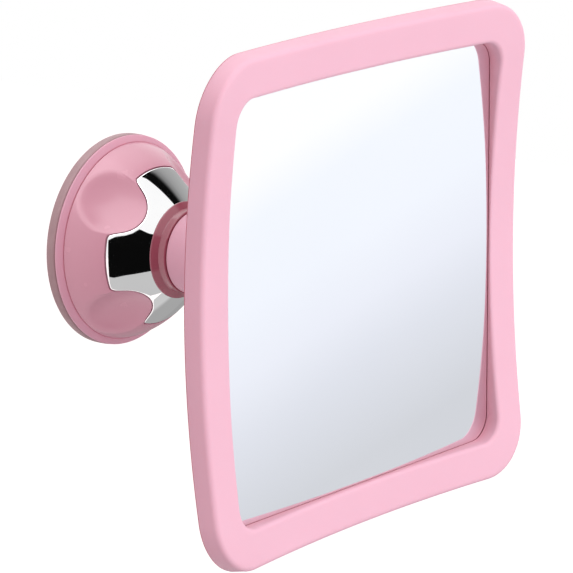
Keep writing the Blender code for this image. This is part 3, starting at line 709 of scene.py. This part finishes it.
def make_spring():
    """The wire wound round the stud's tip, which shortens as the stud lifts."""
    radius = (STUD_TIP_RADIUS + TUBE_BORE) / 2
    count = SPRING_TURNS * TURN_STEPS
    rise = SPRING_LENGTH - 2 * SPRING_WIRE
    slope = rise / (math.tau * SPRING_TURNS)
    centres, rings = [], []
    for step in range(count + 1):
        angle = math.tau * step / TURN_STEPS
        outward = on_mount(math.cos(angle), math.sin(angle), 0)
        along = on_mount(-radius * math.sin(angle), radius * math.cos(angle), slope).normalized()
        aside = along.cross(outward)
        centre = outward * radius + on_mount(0, 0, spring_low + SPRING_WIRE + rise * step / count)
        centres.append(centre)
        rings.append([
            centre + (outward * math.cos(turn) + aside * math.sin(turn)) * SPRING_WIRE
            for turn in full_turn(WIRE_STEPS)
        ])
    rows = [centres[:1], *rings, centres[-1:]]
    piece = skinned_piece("wound_spring", "return_spring", rows, close_rows=False)
    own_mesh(piece)


def make_collar():
    bore = tube_radius + GAP
    band_radius = collar_tip + COLLAR_STEP
    turned_piece("stepped_collar", "neck_collar", [
        (bore, collar_high, COLLAR_EDGE),
        (collar_tip, collar_high, COLLAR_EDGE),
        (band_radius, collar_high - COLLAR_STEP, COLLAR_EDGE),
        (band_radius, collar_high - COLLAR_BAND, COLLAR_EDGE),
        (collar_radius, collar_low + COLLAR_FOOT, COLLAR_EDGE),
        (collar_radius, collar_low, COLLAR_EDGE),
        (bore, collar_low, COLLAR_EDGE),
    ])


def make_neck():
    bore = SHANK_RADIUS + GAP
    nose_side = NECK_RADIUS - NECK_NOSE_RADIUS
    nose = []
    for step in range(BALL_STEPS + 1):
        angle = QUARTER * (1 - step / BALL_STEPS)
        radius = NECK_NOSE_RADIUS + nose_side * math.cos(angle)
        nose.append((radius, neck_shoulder + NECK_NOSE * math.sin(angle), 0))
    cavity_high = neck_low + NECK_CAVITY
    turned_piece("swivel_neck", "neck_tube", [
        (bore, neck_high, SMALL_EDGE),
        *nose,
        (NECK_RADIUS, neck_low, NECK_EDGE),
        (NECK_RADIUS - NECK_WALL, neck_low, SMALL_EDGE),
        (NECK_RADIUS - NECK_WALL, cavity_high, SMALL_EDGE),
        (bore, cavity_high, SMALL_EDGE),
    ])


# Knob and star


def dome_section(share):
    """The dome's (radius, height) and outward direction at a share from its skirt to its front."""
    start = Vector((knob_radius, knob_low))
    bend = Vector((knob_radius - DOME_SHOULDER_STEP, knob_low + DOME_SHOULDER_RISE))
    end = Vector((dome_front_radius, dome_high))
    rest = 1 - share
    place = start * rest * rest + bend * 2 * rest * share + end * share * share
    along = ((bend - start) * rest + (end - bend) * share).normalized()
    return place, Vector((along.y, -along.x))


def dome_share(radius):
    """The share at which the dome's section has that radius."""
    bend = knob_radius - DOME_SHOULDER_STEP
    square = knob_radius - 2 * bend + dome_front_radius
    slope = 2 * (bend - knob_radius)
    root = math.sqrt(max(slope * slope - 4 * square * (knob_radius - radius), 0))
    return (-slope - root) / (2 * square)


bowl_surface, bowl_outward = dome_section(BOWL_PLACE_SHARE)
bowl_centre = bowl_surface + bowl_outward * (BOWL_RADIUS - BOWL_DEPTH)


def bowl_depth(share, angle):
    """How deep the bowl lies under the dome's surface there, below zero outside the bowl."""
    place, outward = dome_section(share)
    step = math.tau / ARMS
    from_bowl = heading((angle - ARM_TURN) % step - step / 2)
    offset = (from_bowl * place.x).to_3d() - Vector((bowl_centre.x, 0, bowl_centre.y - place.y))
    facing = (from_bowl * outward.x).to_3d() + UPWARD * outward.y
    lean = facing.dot(offset)
    root = lean * lean + BOWL_RADIUS ** 2 - offset.length_squared
    return lean + math.sqrt(root) if root > 0 else -BOWL_DEPTH


def smooth_max(first, second, width):
    overlap = max(width - abs(first - second), 0) / width
    return max(first, second) + overlap * overlap * width / 4


def star_radius(angle):
    """The radius at which the star ends: its arms' ends, or where the bowls begin."""
    arm_end = dome_section(ARM_END_SHARE)[0].x
    tries = (BOWL_PLACE_SHARE, ARM_END_SHARE - ARM_TO_BOWL_SHARE)
    inside = [share for share in tries if bowl_depth(share, angle) > 0]
    if not inside:
        return arm_end
    low_share, high_share = 1.0, inside[0]
    for _ in range(EDGE_SEARCH_STEPS):
        middle = (low_share + high_share) / 2
        if bowl_depth(middle, angle) > 0:
            high_share = middle
        else:
            low_share = middle
    edge = dome_section(low_share)[0].x
    return -smooth_max(-edge, -arm_end, CHROME_CORNER)


ANGLES = full_turn(STAR_STEPS)
STAR_RADII = [star_radius(angle) for angle in ANGLES]


def star_outline():
    """The star from the front, its corners softened by drawing points towards their neighbours."""
    points = [heading(angle) * radius for angle, radius in zip(ANGLES, STAR_RADII)]
    for _ in range(CORNER_PASSES):
        neighbours = zip(points[-1:] + points[:-1], points, points[1:] + points[:1])
        points = [(behind + 2 * here + ahead) / 4 for behind, here, ahead in neighbours]
    return points


STAR_OUTLINE = star_outline()


def outline_moved(distance):
    """The star's outline moved out by a distance, square to itself."""
    moved = []
    for index, here in enumerate(STAR_OUTLINE):
        ahead = STAR_OUTLINE[(index + 1) % STAR_STEPS] - STAR_OUTLINE[index - 1]
        moved.append(here + Vector((ahead.y, -ahead.x)).normalized() * distance)
    return moved


def on_dome(point, drop):
    """A point over the dome at a place seen from the front, dropped under the dome's surface."""
    place, outward = dome_section(dome_share(point.length))
    across = point.normalized()
    place = place - outward * drop
    return on_mount(across.x * place.x, across.y * place.x, place.y)


def make_star():
    inner_radius = collar_radius - CHROME_LIP
    rows = [[on_dome(point, CHROME_THICKNESS) for point in STAR_OUTLINE]]
    for gone, left in ROUNDING:
        outline = outline_moved(-CHROME_EDGE * gone)
        rows.append([on_dome(point, CHROME_EDGE * left) for point in outline])
    top_outline = outline_moved(-CHROME_EDGE)
    inner = [heading(angle) * inner_radius for angle in ANGLES]
    top_rows = []
    for step in range(1, BAND_STEPS + 1):
        share = step / BAND_STEPS
        top_rows.append([a.lerp(b, share) for a, b in zip(top_outline, inner)])
    rows += [[on_dome(point, 0) for point in row] for row in top_rows]
    rows += [[on_dome(point, CHROME_THICKNESS) for point in row] for row in reversed(top_rows)]
    skinned_piece("star_cover", "chrome_star", rows)


def make_knob():
    seam = outline_moved(CHROME_SEAM)
    pocket_drop = CHROME_THICKNESS + GAP
    lip_radius = collar_radius - CHROME_LIP - GAP
    hub_radius = HUB_BORE + HUB_WALL
    end_shares = [dome_share(point.length) for point in seam]
    headings = [math.atan2(point.y, point.x) for point in seam]

    def lowered(share, index, extra):
        """The dome's surface with the bowls scooped out of it, and moved in by extra."""
        place, outward = dome_section(share)
        angle = headings[index]
        reach = (place.x - STAR_RADII[index]) / BOWL_BLEND_REACH
        blend = BOWL_BLEND * min(max(reach, LEAST_BLEND_SHARE), 1)
        depth = smooth_max(bowl_depth(share, angle), 0, blend)
        place = place - outward * (depth + extra)
        return on_mount(place.x * math.cos(angle), place.x * math.sin(angle), place.y)

    rows = []
    for step in range(DOME_STEPS + 1):
        share = step / DOME_STEPS
        rows.append([lowered(share * end, index, 0) for index, end in enumerate(end_shares)])
    floor_end = [point.normalized() * lip_radius for point in seam]
    for share in (0, 0.5, 1):
        rows.append([on_dome(a.lerp(b, share), pocket_drop) for a, b in zip(seam, floor_end)])
    ceiling_share = dome_share(hub_radius + 2 * KNOB_WALL)
    ceiling = dome_section(ceiling_share)[0].y - KNOB_WALL - CHROME_THICKNESS
    for radius, height in (
        (lip_radius, dome_high), (HUB_BORE, dome_high), (HUB_BORE, knob_low + HUB_CLEAR),
        (hub_radius, knob_low + HUB_CLEAR), (hub_radius, ceiling),
    ):
        rows.append(circle(radius, height, headings))
    for step in reversed(range(DOME_STEPS_INSIDE + 1)):
        share = step / DOME_STEPS_INSIDE
        rows.append([
            lowered(share * min(end, ceiling_share), index, KNOB_WALL)
            for index, end in enumerate(end_shares)
        ])
    rows.append(circle(knob_radius - KNOB_WALL, knob_low, headings))
    skinned_piece("lock_knob", "knob_dome", rows)


# Mirror frame, plate and rear shell


def rounded_square(half_x, half_y, corner, bow=0.0):
    """Points round a rounded rectangle whose left and right sides bow out."""
    points = []
    signs = ((1, 1), (-1, 1), (-1, -1), (1, -1))
    centres = [Vector((x * (half_x - corner), y * (half_y - corner))) for x, y in signs]
    for index, centre in enumerate(centres):
        for step in range(CORNER_STEPS + 1):
            side = heading(QUARTER * (index + step / CORNER_STEPS)) * corner
            points.append(centre + side)
        following = centres[(index + 1) % len(centres)]
        for step in range(1, SIDE_STEPS):
            points.append(centre.lerp(following, step / SIDE_STEPS) + side)
    for point in points:
        point.x += bow * (1 - (point.y / half_y) ** 2) * point.x / half_x
    return points


def frame_outline(inset):
    """The frame's outline moved in by inset. At the band's width it is the lip's outline."""
    share = inset / band
    return rounded_square(
        FRAME_WIDTH / 2 - share * BAND_ACROSS,
        FRAME_HEIGHT / 2 - share * BAND_UP,
        FRAME_CORNER + share * (LIP_CORNER - FRAME_CORNER),
        FRAME_BOW * (1 - share),
    )


def dish_level(x, y, inset=0.0):
    """How far the front face stands forward of the dish's centre."""
    across = DISH_ACROSS * (2 * x / FRAME_WIDTH) ** 2
    up = DISH_UP * (2 * y / FRAME_HEIGHT) ** 2
    return across + up + LIP_RAISE * max(inset, 0) / band


def dished_ring(inset, drop):
    return [on_mirror(p.x, p.y, dish_level(p.x, p.y, inset) - drop) for p in frame_outline(inset)]


def flat_ring(inset, level):
    return [on_mirror(p.x, p.y, level) for p in frame_outline(inset)]


def round_ring(radius, height):
    """A circle about the mount's axis, with one point for each point of the outline."""
    around = [point.normalized() * radius for point in frame_outline(band)]
    return [on_mount(p.x, p.y, height) for p in around]


def make_front_frame():
    rows = []
    for gone, left in ROUNDING:
        rows.append(dished_ring(RIM_EDGE * left - FRAME_FLARE, FRAME_DEPTH - RIM_EDGE * gone))
    for gone, left in ROUNDING:
        rows.append(dished_ring(FRAME_ROUND * gone, FRAME_ROUND * left))
    face_start, face_end = FRAME_ROUND, band - LIP_ROUND
    for step in range(1, BAND_STEPS):
        rows.append(dished_ring(face_start + (face_end - face_start) * step / BAND_STEPS, 0))
    for gone, left in ROUNDING:
        inset = band - LIP_ROUND * left
        row = []
        for p in frame_outline(inset):
            front = dish_level(p.x, p.y, inset)
            depth = min(LIP_ROUND, LIP_DEPTH_SHARE * (front - seat_level))
            row.append(on_mirror(p.x, p.y, front - depth * gone))
        rows.append(row)
    rows += [
        flat_ring(band, seat_level),
        flat_ring(band - SEAT_WIDTH, seat_level),
        dished_ring(band - SEAT_WIDTH - SEAT_STEP, FACE_THICKNESS),
        dished_ring(SKIRT_THICKNESS, FACE_THICKNESS),
        dished_ring(SKIRT_THICKNESS - FRAME_FLARE, FRAME_DEPTH),
    ]
    skinned_piece("pink_frame", "front_frame", rows)


def make_plate():
    half_x = lip_width / 2 + PLATE_OVERLAP
    half_y = lip_height / 2 + PLATE_OVERLAP
    corner = LIP_CORNER + PLATE_OVERLAP
    rows = [[on_mirror(0, 0, plate_low)]]
    for inset, level in (
        (PLATE_EDGE, plate_low), (0, plate_low + PLATE_EDGE),
        (0, GLASS_LEVEL - PLATE_EDGE), (PLATE_EDGE, GLASS_LEVEL),
    ):
        outline = rounded_square(half_x - inset, half_y - inset, corner - inset)
        rows.append([on_mirror(p.x, p.y, level) for p in outline])
    rows.append([on_mirror(0, 0, GLASS_LEVEL)])
    skinned_piece("silvered_plate", "mirror_plate", rows, close_rows=False)


def screw_places():
    """The shell screws, two along each side: (x, y, level of the shell's outside)."""
    places = []
    share = (SCREW_INSET + FRAME_FLARE) / (SHELL_TURN + FRAME_FLARE)
    for normal in (Vector((1, 0)), Vector((-1, 0)), Vector((0, 1)), Vector((0, -1))):
        half, half_side = FRAME_WIDTH / 2, FRAME_HEIGHT / 2
        if normal.y:
            half, half_side = half_side, half
        for along in (1, -1):
            edge = normal * half + normal.orthogonal() * along * (half_side - SCREW_FROM_END)
            spot = edge - normal * SCREW_INSET
            rim = dish_level(edge.x, edge.y) - rim_drop
            outside = rim + (shell_outside - rim) * math.sin(QUARTER * share)
            places.append((spot.x, spot.y, outside))
    return places


def make_rear_shell(places):
    rims = [dish_level(p.x, p.y, -FRAME_FLARE) - rim_drop for p in frame_outline(-FRAME_FLARE)]

    def curved_ring(inset, flat, lift, share):
        """The outline at inset, on the curve from the rim, raised by lift, to the flat back."""
        row = []
        for p, rim in zip(frame_outline(inset), rims):
            start = rim + lift
            row.append(on_mirror(p.x, p.y, start + (flat - start) * math.sin(QUARTER * share)))
        return row

    shares = [i / BAND_STEPS for i in range(BAND_STEPS + 1)]
    pocket = ball_height + socket_inside + SOCKET_FLOOR + GAP
    hollow = boss_radius - BOSS_SHELL
    back = dish_height + shell_outside
    inside = dish_height + shell_inside
    inner_span = SHELL_TURN - tongue_inner
    outer_span = SHELL_TURN + FRAME_FLARE
    rows = [
        [on_mount(0, 0, pocket + BOSS_FLOOR)],
        round_ring(hollow, pocket + BOSS_FLOOR),
        round_ring(hollow, inside),
    ]
    for share in reversed(shares):
        rows.append(curved_ring(tongue_inner + share * inner_span, shell_inside, SHELL_WALL, share))
    rows += [
        dished_ring(tongue_inner, tongue_drop),
        dished_ring(tongue_outer, tongue_drop),
        dished_ring(tongue_outer, rim_drop),
    ]
    for share in shares:
        rows.append(curved_ring(share * outer_span - FRAME_FLARE, shell_outside, 0, share))
    for gone, left in ROUNDING:
        rows.append(round_ring(boss_radius + BOSS_FILLET * left, back - BOSS_FILLET * gone))
    for gone, left in ROUNDING:
        rows.append(round_ring(boss_radius - RIM_EDGE * gone, ball_height + RIM_EDGE * left))
    rows += [
        round_ring(boss_bore, ball_height),
        round_ring(boss_bore, pocket),
        [on_mount(0, 0, pocket)],
    ]
    shape = skin(rows)
    bmesh.ops.triangulate(shape, faces=shape.faces)
    holes = bmesh.new()
    for x, y, outside in places:
        seat = outside + SCREW_SINK + SCREW_HEAD + GAP
        start = on_mirror(x, y, outside - OVERRUN)
        cylinder(holes, start, on_mirror(x, y, seat), SCREW_HEAD_RADIUS + GAP)
    mesh = carve(finish_mesh("rear_cover", shape), holes)
    new_piece("rear_cover", mesh, "rear_shell")


# Ball joint and screws


def make_ball_joint():
    stem_angle = math.asin(STEM_RADIUS / BALL_RADIUS)
    flange_top = flange_high - ball_height
    flange_bottom = flange_low - ball_height
    ball = sphere_arc(BALL_RADIUS, math.pi, stem_angle, 2 * BALL_STEPS)
    ball[0] = (0, BALL_RADIUS, 0)
    turned_piece("ball_and_stem", "ball_stud", [
        *ball,
        (STEM_RADIUS, flange_top, SMALL_EDGE),
        (FLANGE_RADIUS, flange_top, SMALL_EDGE),
        (FLANGE_RADIUS, flange_bottom, SMALL_EDGE),
        (SHANK_RADIUS, flange_bottom, 0),
        (SHANK_RADIUS, flange_bottom - SHANK_LENGTH, SMALL_EDGE),
        (0, flange_bottom - SHANK_LENGTH, 0),
    ], ball_height, ring=False)
    turned_piece("ball_seat", "ball_liner", [
        *sphere_arc(liner_inside, LINER_MOUTH, LINER_END),
        *sphere_arc(liner_outside, LINER_END, LINER_MOUTH),
    ], ball_height)


def socket_screw_places():
    half_step = math.pi / SOCKET_SCREWS
    return [heading(angle + half_step) * screw_circle for angle in full_turn(SOCKET_SCREWS)]


def make_socket_ring():
    mouth = sphere_arc(socket_inside, RING_MOUTH, QUARTER)
    ring_low = mouth[0][1]
    mesh = turned("ball_retainer", [
        (socket_inside, -GAP, 0),
        (boss_radius, -GAP, SMALL_EDGE),
        (boss_radius, -RING_SHOULDER, SMALL_EDGE),
        (boss_radius - RING_SHOULDER, ring_low, SMALL_EDGE),
        *mouth[:-1],
    ], ball_height)
    holes = bmesh.new()
    for x, y in socket_screw_places():
        start = on_mount(x, y, ball_height + ring_low - OVERRUN)
        sink_end = on_mount(x, y, ball_height - SOCKET_SCREW_DEPTH)
        cylinder(holes, start, sink_end, SOCKET_SCREW_HEAD_RADIUS + GAP)
    new_piece("ball_retainer", carve(mesh, holes), "socket_ring")


def screw_mesh(name, radius, head_radius, head, length):
    """A cross-headed screw with its head's face at the origin and its shank out from the wall."""
    mesh = turned(name, [
        (0, head + length, 0),
        (radius / 2, head + length, 0),
        (radius, head + length - radius, SMALL_EDGE / 2),
        (radius, head, 0),
        (head_radius, head, SMALL_EDGE / 3),
        (head_radius, head / 4, SMALL_EDGE),
        (head_radius * DRIVE_LENGTH_SHARE, 0, 0),
        (0, 0, 0),
    ], steps=SMALL_STEPS, ring=False)
    depth = head * DRIVE_DEPTH_SHARE
    arm = head_radius * DRIVE_LENGTH_SHARE
    size = Matrix.Diagonal((2 * arm, 2 * depth, 2 * head_radius * DRIVE_WIDTH_SHARE, 1))
    for turn in (0, QUARTER):
        cross = bmesh.new()
        bmesh.ops.create_cube(cross, size=1, matrix=Matrix.Rotation(turn, 4, "Y") @ size)
        for vert in cross.verts:
            if vert.co.y < 0:
                vert.co.x *= DRIVE_DEPTH_SHARE
                vert.co.z *= DRIVE_DEPTH_SHARE
        mesh = carve(mesh, cross)
    return mesh


def screw_copy(name, node, mesh, place, turn):
    moved = mesh.copy()
    moved.transform(Matrix.Translation(place) @ Matrix.Rotation(turn, 4, "Y"))
    new_piece(name, moved, node)


def make_screws(places):
    mesh = screw_mesh(
        "shell_screw_shape", SCREW_RADIUS, SCREW_HEAD_RADIUS, SCREW_HEAD, SCREW_LENGTH,
    )
    for index, (x, y, outside) in enumerate(places):
        place = on_mirror(x, y, outside + SCREW_SINK)
        name, node = f"cover_screw_{index + 1}", f"shell_screw_{index + 1}"
        screw_copy(name, node, mesh, place, SCREW_TURNS[index % len(SCREW_TURNS)])
    mesh = screw_mesh(
        "socket_screw_shape", SOCKET_SCREW_RADIUS, SOCKET_SCREW_HEAD_RADIUS,
        SOCKET_SCREW_HEAD, SOCKET_SCREW_LENGTH,
    )
    height = ball_height - SOCKET_SCREW_DEPTH - GAP - SOCKET_SCREW_HEAD
    for index, (x, y) in enumerate(socket_screw_places()):
        name, node = f"retainer_screw_{index + 1}", f"socket_screw_{index + 1}"
        screw_copy(name, node, mesh, on_mount(x, y, height), SCREW_TURNS[-1 - index])


make_pad()
make_housing()
make_spring()
make_knob()
make_star()
make_collar()
make_neck()
make_ball_joint()
make_socket_ring()
shell_places = screw_places()
make_front_frame()
make_plate()
make_rear_shell(shell_places)
make_screws(shell_places)

# Camera

AZIMUTH = math.radians(51.294)
ELEVATION = math.radians(13.682)
ROLL = math.radians(-0.259)
TARGET = Vector((-0.041672, -0.1238, 0.005614))
DISTANCE = 1.455773
SENSOR_WIDTH = 36.0
LENS = 235.81
CLIP_START_SHARE = 0.1
CLIP_END_SHARE = 20


def make_camera():
    data = bpy.data.cameras.new("camera")
    data.sensor_width = SENSOR_WIDTH
    data.lens = LENS
    data.clip_start = DISTANCE * CLIP_START_SHARE
    data.clip_end = DISTANCE * CLIP_END_SHARE
    camera = linked("camera", data)
    place = Matrix.Translation(TARGET)
    for angle, axis in ((-AZIMUTH, "Z"), (QUARTER - ELEVATION, "X"), (ROLL, "Z")):
        place = place @ Matrix.Rotation(angle, 4, axis)
    camera.matrix_world = place @ Matrix.Translation((0, 0, DISTANCE))
    bpy.context.scene.camera = camera


# Lamps, world and floor

LAMP_AIM = Vector((0, -0.10, 0))
LAMPS = {
    "key": {"place": Vector((0.45, -1.90, 0.60)), "size": 1.1, "watts": 14.8},
    "top": {"place": Vector((-0.25, -0.50, 1.60)), "size": 1.0, "watts": 3.2},
}
AMBIENT = 0.82
AMBIENT_COLOUR = (1, 0.80, 0.80, 1)
WHITE = (1, 1, 1, 1)
FLOOR_LEVEL = -0.50
FLOOR_HALF = 2.2
FLOOR_COLOUR = (0.50, 0.50, 0.50, 1)
FLOOR_GLOW = 0.72


def lamp(name, place, size, watts):
    data = bpy.data.lights.new(name, "AREA")
    data.shape = "SQUARE"
    data.size = size
    data.energy = watts
    made = linked(name, data)
    made.location = place
    made.rotation_euler = (LAMP_AIM - place).to_track_quat("-Z", "Y").to_euler()


def before_matt(graph, path):
    """One until a path has left a matt surface, then zero."""
    return graph.math("LESS_THAN", path["Diffuse Depth"], 0.5)


def seen_directly(graph, path):
    """One for camera, glossy and transmission rays, and zero for the rest."""
    mirrored = graph.math("MAXIMUM", path["Is Camera Ray"], path["Is Glossy Ray"])
    return graph.math("MAXIMUM", mirrored, path["Is Transmission Ray"])


def make_world():
    """White where it is seen, and an even light on matt surfaces, none of it by way of glossy ones."""
    world = bpy.data.worlds.new("studio")
    bpy.context.scene.world = world
    graph = Graph(world)
    graph.nodes.clear()
    path = graph.add("LightPath")
    seen_share = graph.math("MULTIPLY", seen_directly(graph, path), before_matt(graph, path))
    inputs = {"Value": path["Is Glossy Ray"], "To Min": AMBIENT, "To Max": 0}
    ambient = graph.add("MapRange", inputs)["Result"]
    lit = graph.add("Background", {"Color": AMBIENT_COLOUR, "Strength": ambient})[0]
    seen = graph.add("Background", {"Color": WHITE, "Strength": 1.0})[0]
    both = graph.add("MixShader", {0: seen_share, 1: lit, 2: seen})
    graph.add("OutputWorld", {"Surface": both[0]})


def stage_piece(name, corners):
    """A flat piece of the studio, with an empty material for the caller to fill."""
    mesh = bpy.data.meshes.new(name)
    mesh.from_pydata(corners, [], [range(len(corners))])
    made = linked(name, mesh)
    material = bpy.data.materials.new(name)
    mesh.materials.append(material)
    graph = Graph(material)
    graph.nodes.clear()
    return made, graph


WHOLE = ((0, 0), (1, 0), (1, 1), (0, 1))


def plane(name, centre, across, up, half, outline=WHOLE):
    """A flat square facing across x up, or the part of it inside an outline of shares."""
    corners = [centre + (across * (2 * a - 1) + up * (2 * b - 1)) * half for a, b in outline]
    made, graph = stage_piece(name, corners)
    layer = made.data.uv_layers.new(name="place")
    for loop, place in zip(layer.data, outline):
        loop.uv = place
    return made, graph


def make_floor():
    centre = Vector((0, 0, FLOOR_LEVEL))
    _, graph = plane("floor", centre, Vector((1, 0, 0)), Vector((0, 1, 0)), FLOOR_HALF)
    seen = seen_directly(graph, graph.add("LightPath"))
    matt = graph.add("BsdfDiffuse", {"Color": FLOOR_COLOUR})[0]
    pale = graph.add("Emission", {"Strength": graph.math("MULTIPLY", seen, FLOOR_GLOW)})[0]
    graph.add("OutputMaterial", {"Surface": graph.add("AddShader", {0: matt, 1: pale})[0]})


# Painted reflections and highlights: cards which only reflections show


def grey(tone):
    return (tone, tone, tone)


MIRROR_MIDDLE = Vector((0, -dish_height, 0))
UPPER_ARM = Vector((0, -0.030, 0.030))
LOWER_ARM = Vector((0, -0.030, -0.030))
SKY_FOOT = Vector((-0.45, -0.15, 0))
# Straight overhead, a card would have no level direction across it
SKY_LEAN = 0.0001
BLACK = 0.003
# Painted reflections and highlights: cards that glow only in reflections, on the mirror, the chrome
# arms and the dome.
# Where each card is seen from, which way and how far it lies from there, and half its side.
# Its stops of (share, colour) run along its slant.
PAINTED_REFLECTION_CARDS = {
    # Painted reflection: the mirror's gradient from white to blue-grey.
    "mirror_gradient_card": {
        "seen_from": MIRROR_MIDDLE, "towards": Vector((0.758, -0.608, -0.2365)),
        "distance": 0.90, "half": 0.40, "slant": math.radians(57),
        "stops": (
            (0.386, (1.04, 1.04, 1.04)), (0.420, (0.945, 0.975, 1.02)),
            (0.475, (0.930, 0.960, 1.02)), (0.520, (0.880, 0.900, 0.970)),
            (0.560, (0.785, 0.805, 0.865)), (0.625, (0.675, 0.690, 0.725)),
        ),
    },
    "front_gradient_card": {
        "seen_from": MIRROR_MIDDLE, "towards": Vector((0, -0.98, -0.20)),
        "distance": 1.90, "half": 0.80, "slant": math.radians(57),
        "stops": (
            (0.300, (1.00, 1.00, 1.00)), (0.480, (0.930, 0.955, 1.00)),
            (0.620, (0.800, 0.820, 0.870)), (0.800, (0.700, 0.715, 0.750)),
        ),
    },
    # Painted reflection: the black band and greys in the chrome star's upper arm.
    "upper_arm_card": {
        "seen_from": UPPER_ARM, "towards": Vector((0.683, -0.183, 0.707)),
        "distance": 0.60, "half": 0.50, "slant": math.radians(26.6),
        "stops": (
            (0.308, grey(1.0)), (0.316, grey(BLACK)), (0.433, grey(BLACK)), (0.458, grey(0.045)),
            (0.500, grey(0.210)), (0.570, grey(0.320)), (0.640, grey(0.370)), (0.930, grey(0.490)),
        ),
        "outline": ((0, 0), (0.900, 0), (0.870, 0.150), (0.198, 1), (0, 1)),
    },
    "lower_arm_card": {
        "seen_from": LOWER_ARM, "towards": Vector((0.571, -0.050, -0.819)),
        "distance": 0.45, "half": 0.26, "slant": math.radians(-45),
        "stops": ((0.330, grey(0.600)), (0.440, grey(0.385))),
    },
    # Painted highlight, brighter than white: the whitish gloss on the dome's shoulder.
    "shoulder_card": {
        "seen_from": UPPER_ARM, "towards": Vector((0.683, 0.183, 0.707)),
        "distance": 1.10, "half": 0.75, "slant": math.radians(90),
        "stops": ((0.300, grey(2.1)), (0.550, grey(1.2)), (0.800, grey(1.3))),
    },
    "under_card": {
        "seen_from": LOWER_ARM, "towards": Vector((0.682, 0.394, -0.616)),
        "distance": 0.50, "half": 0.22, "slant": 0,
        "stops": ((0, grey(0.35)), (1, grey(0.35))),
    },
    # Painted highlight, far brighter than white: the whitish gloss on the dome's top and bowls.
    "sky_card": {
        "seen_from": SKY_FOOT, "towards": Vector((0, -SKY_LEAN, 1)),
        "distance": 1.10, "half": 0.75, "slant": 0,
        "stops": ((0, grey(3.6)), (1, grey(3.6))),
    },
}
# Painted reflections in the chrome star: a black, a white and a grey sheet, seen only in reflections,
# where the star would reflect the mirror's back.
# The near cards hang between the mount and the mirror. Their corners are (x, y), and run
# clockwise as seen from the mirror, so that they face the wall.
NEAR_PAINTED_REFLECTION_CARDS = {
    # Painted reflection: the black patch in the star's left arm, a dark sheet where only the mirror's
    # shaded back is.
    "near_black_card": {
        "height": 0.0900, "tone": BLACK,
        "corners": (
            (-0.125, 0.027), (-0.107, 0.030), (-0.077, 0.032), (-0.066, 0.036), (-0.054, 0.044),
            (-0.046, 0.036), (-0.025, 0.030), (-0.025, -0.040), (-0.051, -0.047), (-0.078, -0.060),
            (-0.100, -0.075), (-0.125, -0.085),
        ),
    },
    "near_white_card": {
        "height": 0.0902, "tone": 1.0,
        "corners": ((-0.125, 0.115), (0.030, 0.115), (0.030, 0.020), (-0.125, 0.020)),
    },
    "near_grey_card": {
        "height": 0.0902, "tone": 0.56,
        "corners": ((-0.125, -0.040), (0.020, -0.040), (0.020, -0.150), (-0.125, -0.150)),
    },
}


def reflected_only(piece):
    """Keep a painted-reflection card out of everything but reflections."""
    piece.visible_camera = False
    piece.visible_diffuse = False
    piece.visible_shadow = False
    piece.visible_transmission = False


def glow(graph, colour):
    """Emission of a colour, on paths that haven't left a matt surface."""
    strength = before_matt(graph, graph.add("LightPath"))
    return graph.add("Emission", {"Color": colour, "Strength": strength})[0]


def card(name, seen_from, towards, distance, half, slant, stops, outline=WHOLE):
    """A glowing card that faces what reflects it: a painted reflection, or above white a painted
    highlight.
    """
    facing = -towards.normalized()
    across = facing.cross(UPWARD).normalized()
    centre = seen_from + towards * distance
    made, graph = plane(name, centre, across, across.cross(facing), half, outline)
    reflected_only(made)
    place = graph.add("UVMap")["UV"]
    centred = graph.add("VectorMath", {0: place, 1: (0.5, 0.5, 0)}, "SUBTRACT")[0]
    inputs = {"Vector": centred, "Rotation": (0, 0, slant), "Location": (0.5, 0, 0)}
    along = graph.add("SeparateXYZ", {0: graph.add("Mapping", inputs)["Vector"]})["X"]
    graph.add("OutputMaterial", {"Surface": glow(graph, graph.ramp(along, stops))})


def near_card(name, height, tone, corners):
    """A painted reflection: a card that shows its tone towards the wall and nothing towards the
    mirror.
    """
    made, graph = stage_piece(name, [on_mount(x, y, height) for x, y in corners])
    reflected_only(made)
    away = graph.add("NewGeometry")["Backfacing"]
    clear = graph.add("BsdfTransparent")[0]
    sides = graph.add("MixShader", {0: away, 1: glow(graph, (*grey(tone), 1)), 2: clear})
    graph.add("OutputMaterial", {"Surface": sides[0]})


make_camera()
make_world()
make_floor()
for name, values in LAMPS.items():
    lamp(name, **values)
for name, values in PAINTED_REFLECTION_CARDS.items():
    card(name, **values)
for name, values in NEAR_PAINTED_REFLECTION_CARDS.items():
    near_card(name, **values)

scene = bpy.context.scene
scene.view_settings.view_transform = "Standard"
